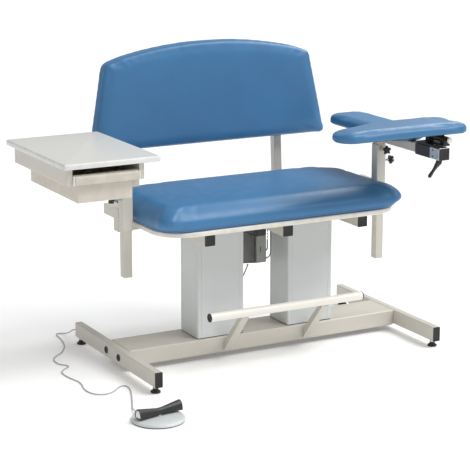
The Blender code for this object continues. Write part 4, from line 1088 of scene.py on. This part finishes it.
def make_foot_switch():
    low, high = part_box("foot_switch_base")
    centre = CHAIR + SWITCH
    rim = (high[0] - low[0]) / 2
    shape = bmesh.new()
    turned(shape, [(rim - 0.0030, 0), (rim - 0.0012, 0.0004), (rim - 0.0010, 0.0030),
                   (rim - 0.004, 0.0031)], centre, (0, 0, 1), 96)
    piece("foot_switch_grip_ring", shape, BLACK_RUBBER, "base")
    shape = bmesh.new()
    turned(shape, [(rim - 0.006, 0.0030), (rim - 0.0006, 0.0032), (rim, 0.0040), (rim, 0.0068),
                   (rim - 0.0008, 0.0088), (rim - 0.0026, 0.0108), (rim - 0.0056, 0.0124),
                   (rim - 0.0095, 0.0133), (rim - 0.0140, 0.0136), (rim - 0.0146, 0.0131),
                   (rim - 0.0158, 0.0131), (rim - 0.0164, 0.0137), (rim - 0.030, 0.0140),
                   (0.004, 0.0140)], centre, (0, 0, 1), 96)
    (sx0, sy0), (sx1, sy1) = (-0.7460, -0.5185), (-0.7330, -0.4952)
    block(shape, (CHAIR.x + sx0, CHAIR.y + sy0, 0.0028), (CHAIR.x + sx1, CHAIR.y + sy1, 0.0128),
          0.0025)
    turn = Matrix.Rotation(PEDAL_YAW, 4, "Z")
    pivot = Vector((SWITCH.x + 0.006, SWITCH.y + 0.007, 0))
    block(shape, (-0.006, -0.008, 0.0135), (0.006, 0.008, 0.0182), 0.002,
          Matrix.Translation(CHAIR + pivot) @ turn)
    piece("foot_switch_housing", shape, SWITCH_GREY, "base", 28,
          ("foot_switch_base",))

    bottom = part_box("foot_pedal")[0][2]
    place = Matrix.Translation(CHAIR + pivot + Vector((0, 0, bottom))) @ turn
    shape = bmesh.new()
    rings = []
    recess = 0.0035
    for way, depth in ((-1, recess), (-1, 0)):
        rings.append(pedal_ring(way * (PEDAL_HALF - depth), PEDAL_END, 0.80))
    rings.append(pedal_ring(-PEDAL_HALF, PEDAL_END, 0.95))
    for k in range(33):
        x = (k / 16 - 1) * (PEDAL_HALF - 0.0012)
        near = sqrt((x / PEDAL_HALF) ** 2 + 0.012) - sqrt(0.012)
        radius = PEDAL_WAIST + (PEDAL_END - PEDAL_WAIST) * near / (sqrt(1.012) - sqrt(0.012))
        rings.append(pedal_ring(x, radius))
    rings.append(pedal_ring(PEDAL_HALF, PEDAL_END, 0.95))
    for depth in (0, recess):
        rings.append(pedal_ring(PEDAL_HALF - depth, PEDAL_END, 0.80))
    bridge(shape, [[place @ point for point in ring] for ring in rings])
    piece("foot_pedal_saddle", shape, SADDLE_RUBBER, "pedal", 45,
          ("foot_pedal",))
    shape = bmesh.new()
    for way in (-1, 1):
        near, far = PEDAL_HALF - recess + 0.0002, PEDAL_HALF - 0.0010
        bridge(shape, [[place @ point for point in pedal_ring(way * x, PEDAL_END, scale)]
                       for x, scale in ((near, 0.775), (far - 0.0005, 0.775), (far, 0.74))])
    piece("foot_pedal_core", shape, WHITE_PLASTIC, "pedal")


# ================================================================ drawer
def make_drawer_pull():
    (x0, y0, z0), (x1, y1, z1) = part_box("drawer_pull")
    section = rounded([(y0 + 0.0015, z0, 0.0025), (y1 - 0.006, z0, 0.002),
                       (y1 - 0.006, z0 + 0.010, 0.003), (y1, z0 + 0.013, 0.002),
                       (y1, z1 - 0.001, 0.002), (y1 - 0.007, z1, 0.004), (y0, z1 - 0.003, 0.011)],
                      6)
    shape = bmesh.new()
    stack(shape, section, bullnose(0, x1 - x0, 0.0022, 4), along_x((x0, 0, 0)))
    piece("drawer_pull_bar", shape, BEIGE_PLASTIC, "drawer",
          replaces=("drawer_pull",))
    shape = bmesh.new()
    for low, high in ((x0 - 0.0042, x0 - 0.0006), (x1 + 0.0006, x1 + 0.0050)):
        block(shape, (low, y0 + 0.003, z0 + 0.0005), (high, y1 + 0.004, z1 - 0.002), 0.0012)
    piece("drawer_runner_ends", shape, WHITE_PLASTIC, "drawer")


# ================================================================ arms
def star(radius, lobes=5, count=100):
    points = []
    for k in range(count):
        angle = 2 * pi * k / count
        wave = cos(lobes * angle)
        points.append(Vector((cos(angle), sin(angle))) * radius
                      * (0.775 + 0.225 * (wave if wave > 0 else wave * 0.92)))
    return points


def make_knobs():
    turns = {"knob_left_rear": 0.2, "knob_left_side": 0.5, "knob_right_front": 0.35,
             "knob_right_side": 0.9}
    for name, axis in (("knob_left_rear", (0, 1, 0)), ("knob_left_side", (-1, 0, 0)),
                       ("knob_right_front", (0, -1, 0)), ("knob_right_side", (1, 0, 0))):
        low, high = Vector(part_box(name)[0]), Vector(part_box(name)[1])
        way = Vector(axis)
        middle = (low + high) / 2
        reach = abs((high - low).dot(way))
        start = middle - way * reach / 2                 # where the stem meets the sleeve
        radius, length = 0.0178, 0.015
        shape = bmesh.new()
        turn = Matrix.Rotation(turns[name], 4, "Z")
        profile = [(0.0040, 0.0), (0.0012, 0.0010), (0.0, 0.0026), (0.0, 0.0100),
                   (0.0010, 0.0122), (0.0030, 0.0138), (0.0060, 0.0148), (0.0090, 0.0150)]
        place = facing_any(axis, start + way * (reach - length)) @ turn
        stack(shape, star(radius), profile, place)
        turned(shape, [(0.0078, -0.0050), (0.0086, -0.0042), (0.0090, 0.0006)],
               start + way * (reach - length), axis, 28)
        piece(name + "_star", shape, BLACK_PLASTIC, name, 40, (name,))
        shape = bmesh.new()
        threaded(shape, start + way * 0.0002, axis, 0.0044, reach - length - 0.0046)
        piece(name + "_stem", shape, STEEL, name)
        shape = bmesh.new()
        collar(shape, hexagon(0.0170), circle(0.0048, 24), 0.0, 0.0065, facing_any(axis, start))
        piece(name + "_nut", shape, FRAME_PAINT, "seat")


def make_clamp():
    low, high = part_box("clamp_lever")
    centre = Vector(((low[0] + high[0]) / 2, CHAIR.y - 0.404, high[2]))
    slope, length = radians(42), 0.092
    shape = bmesh.new()
    turned(shape, [(0.0088, -0.0168), (0.0100, -0.0160), (0.0108, -0.0140), (0.0110, -0.0100),
                   (0.0110, -0.0020), (0.0104, -0.0006), (0.0090, 0.0)], centre, (0, 0, 1), 36)
    turn = Matrix.Rotation(slope, 4, "X")
    ahead = turn @ Vector((0, 0, -1))
    rings = []
    for k in range(23):
        t = k / 22
        reach = 0.004 + (length - 0.004) * t
        width = 0.0092 - 0.0042 * min(1.0, t * 2.2) + 0.0012 * max(0.0, t - 0.6) / 0.4
        depth = 0.0096 - 0.0042 * min(1.0, t * 2.2) + 0.0014 * max(0.0, t - 0.6) / 0.4
        if k >= 20:
            width *= (1.0, 0.90, 0.62)[k - 20]
            depth *= (1.0, 0.90, 0.62)[k - 20]
        outline = rounded([(-width, -depth, width * 0.55), (width, -depth, width * 0.55),
                           (width, depth, width * 0.55), (-width, depth, width * 0.55)], 4)
        here = centre + Vector((0, 0, -0.010)) + ahead * reach
        rings.append([here + turn.to_3x3() @ Vector((*point, 0)) for point in outline])
    bridge(shape, rings)
    piece("clamp_handle", shape, BLACK_PLASTIC, "lever", 50, ("clamp_lever",))
    shape = bmesh.new()
    socket_screw(shape, centre + Vector((0, 0, -0.0167)), (0, 0, -1), 0.0048, 0.0022)
    piece("clamp_handle_screw", shape, STEEL, "lever")

    low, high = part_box("clamp_block")
    half = (high[0] - low[0]) / 2
    middle = Vector(((low[0] + high[0]) / 2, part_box("arm_tube_cap")[0][1], (low[2] + high[2]) / 2))
    shape = bmesh.new()
    square_stack(shape, half, half, 0.003, [(0.0072, -0.0130), (0.0072, -0.0033), (0.0004, -0.0033),
                           (0.0004, -0.0010), (0.0009, -0.0003), (0.0018, 0.0), (0.0100, 0.0),
                           (0.0110, -0.0008), (0.0130, -0.0009)], facing((0, -1, 0), middle))
    piece("arm_end_plate", shape, BLACK_PLASTIC, "right_arm",
          replaces=("arm_tube_cap",))
    shape = bmesh.new()
    for x in (-0.013, 0.013):
        socket_screw(shape, (middle.x + x, low[1] + 0.012, high[2] - 0.0002), (0, 0, 1), 0.0042,
                     0.0042)
    for z in (-0.012, 0.012):
        socket_screw(shape, (low[0] + 0.0002, low[1] + 0.040, middle.z + z), (-1, 0, 0), 0.0036,
                     0.0016)
    piece("clamp_block_screws", shape, BLACK_PLASTIC, "right_arm")


def make_hinge():
    low, high = Vector(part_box("swivel_bracket")[0]), Vector(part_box("swivel_bracket")[1])
    axis = CHAIR + Vector((0.5695, 0, 0.8128))
    rear, front = high.y, low.y
    ear = 0.022
    shape = bmesh.new()
    span = rear - front - 2 * ear - 0.0016
    ring = [(0.0108, 0), (0.0116, 0.0004), (0.0118, 0.0012)]
    for k in range(12):
        here = 0.003 + (span - 0.006) * k / 12
        ring += [(0.0118, here), (0.0113, here + 0.0008), (0.0113, here + 0.0014),
                 (0.0118, here + 0.0022)]
    ring += [(0.0118, span - 0.0012), (0.0116, span - 0.0004), (0.0108, span)]
    turned(shape, ring, (axis.x, front + ear + 0.0008, axis.z), (0, 1, 0), 40)
    piece("hinge_barrel", shape, BRONZE, "flip")
    shape = bmesh.new()
    turned(shape, [(0.0070, 0), (0.0074, 0.0005), (0.0074, 0.0022), (0.0066, 0.0030),
                   (0.0004, 0.0033)], (axis.x, rear, axis.z), (0, 1, 0), 32)
    piece("hinge_pin_head", shape, STEEL, "swivel")
    shape = bmesh.new()
    for x, y in ((0.5290, -0.388), (0.5290, -0.304)):
        socket_screw(shape, CHAIR + Vector((x, y, 0.7952)), (0, 0, 1), 0.0042, 0.0026)
    piece("swivel_bracket_screws", shape, STEEL, "swivel")

    low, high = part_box("plunger_ring_knob")
    shape = bmesh.new()
    back = high[1]
    turned(shape, [(0.0040, 0), (0.0040, 0.0130), (0.0094, 0.0140), (0.0114, 0.0150),
                   (0.0114, 0.0176), (0.0100, 0.0182)], (axis.x, back, axis.z), (0, -1, 0), 36)
    piece("plunger_collar", shape, BLACK_PLASTIC, "plunger",
          replaces=("plunger_ring_knob",))
    shape = bmesh.new()
    turned(shape, [(0.0100, 0.0183), (0.0112, 0.0190), (0.0114, 0.0215), (0.0108, 0.0242),
                   (0.0092, 0.0262), (0.0066, 0.0272), (0.0052, 0.0266), (0.0040, 0.0258),
                   (0.0004, 0.0256)], (axis.x, back, axis.z), (0, -1, 0), 36)
    piece("plunger_button", shape, WHITE_PLASTIC, "plunger")


def make_back_fixings():
    shape = bmesh.new()
    caps = bmesh.new()
    depth = BACK_CUSHION + BACK_BOARD + 2 * GAP
    post = BACK_POST
    rearward = Matrix.Rotation(pi / 2 - BACK_RECLINE, 3, "X") @ Vector((0, 0, -1))
    for sign in (-1, 1):
        for height in (0.060, 0.185):
            hex_bolt(shape, back_place(depth + post) @ Vector((sign * BACK_POST_X, height, 0)), rearward,
                     0.013)
        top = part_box("back_post_left")[1][2]
        upright = Matrix.Rotation(-BACK_RECLINE, 4, "X")
        middle = back_place(depth + post / 2) @ Vector((sign * BACK_POST_X, 0, 0))
        rise = (top - post / 2 * sin(BACK_RECLINE) - middle.z) / cos(BACK_RECLINE)
        half = post / 2 - 0.0004
        outline = rounded([(-half, -half, 0.0025), (half, -half, 0.0025), (half, half, 0.0025),
                           (-half, half, 0.0025)], 4)
        for along, way in ((rise, 1), (rise - BACK_POST_LENGTH, -1)):
            spot = middle + (upright.to_3x3() @ Vector((0, 0, 1))) * along
            turn = upright @ Matrix.Rotation(0 if way > 0 else pi, 4, "X")
            stack(caps, outline, bullnose(0.0002, 0.0030, 0.0012, 3),
                  Matrix.Translation(spot) @ turn)
    piece("back_post_bolts", shape, STEEL, "seat")
    piece("back_post_end_caps", caps, BLACK_PLASTIC, "seat")


# ================================================================ stage
WORLD_LIGHT = 0.50                  # even light from all round
KEY_LIGHT, KEY_PLACE = 2.15, Vector((0.42, -0.36, 0.83))         # big soft light, overhead
RIM_LIGHT, RIM_PLACE = 26.0, Vector((1.9, 0.9, 2.6))             # edge highlights from the rear


def make_lamp(name, kind, place, energy, **sizes):
    lamp = bpy.data.lights.new(name, kind)
    lamp.energy = energy
    for size, value in sizes.items():
        setattr(lamp, size, value)
    holder = bpy.data.objects.new(name, lamp)
    holder.location = CHAIR + place
    holder.rotation_mode = "QUATERNION"
    holder.rotation_quaternion = (Vector((0, 0, 0.5)) - place).to_track_quat("-Z", "Y")
    bpy.context.scene.collection.objects.link(holder)


def make_stage():
    n = Nodes("pale_floor")
    colour = n.mix(n.spread(n.noise(3, 2), 0, 1), (0.93, 0.93, 0.93, 1), (0.95, 0.95, 0.95, 1))
    floor_material = n.finish(Base_Color=colour, Roughness=0.85, Emission_Color=colour,
                              Emission_Strength=0.12)
    mesh = bpy.data.meshes.new("floor")
    half = 40.0
    mesh.from_pydata([(-half, -half, 0), (half, -half, 0), (half, half, 0), (-half, half, 0)], [],
                     [(0, 1, 2, 3)])
    mesh.materials.append(floor_material)
    floor = bpy.data.objects.new("floor", mesh)
    floor.location.z = -0.0005
    bpy.context.scene.collection.objects.link(floor)

    world = bpy.data.worlds.new("studio")
    world.use_nodes = True
    world.node_tree.nodes["Background"].inputs["Color"].default_value = (1.0, 1.0, 1.0, 1)
    world.node_tree.nodes["Background"].inputs["Strength"].default_value = WORLD_LIGHT
    bpy.context.scene.world = world
    bpy.context.scene.view_settings.view_transform = "Standard"
    make_lamp("key", "SUN", KEY_PLACE * 4, KEY_LIGHT, angle=radians(35))
    make_lamp("rim", "AREA", RIM_PLACE, RIM_LIGHT, size=1.2)


make_camera()
paint_cad_nodes()
make_cord()
make_upholstery()
make_boards()
make_plugs_and_caps()
make_feet()
make_welds()
make_columns()
make_control_box()
make_leads()
make_foot_switch()
make_drawer_pull()
make_knobs()
make_clamp()
make_hinge()
make_back_fixings()
make_stage()
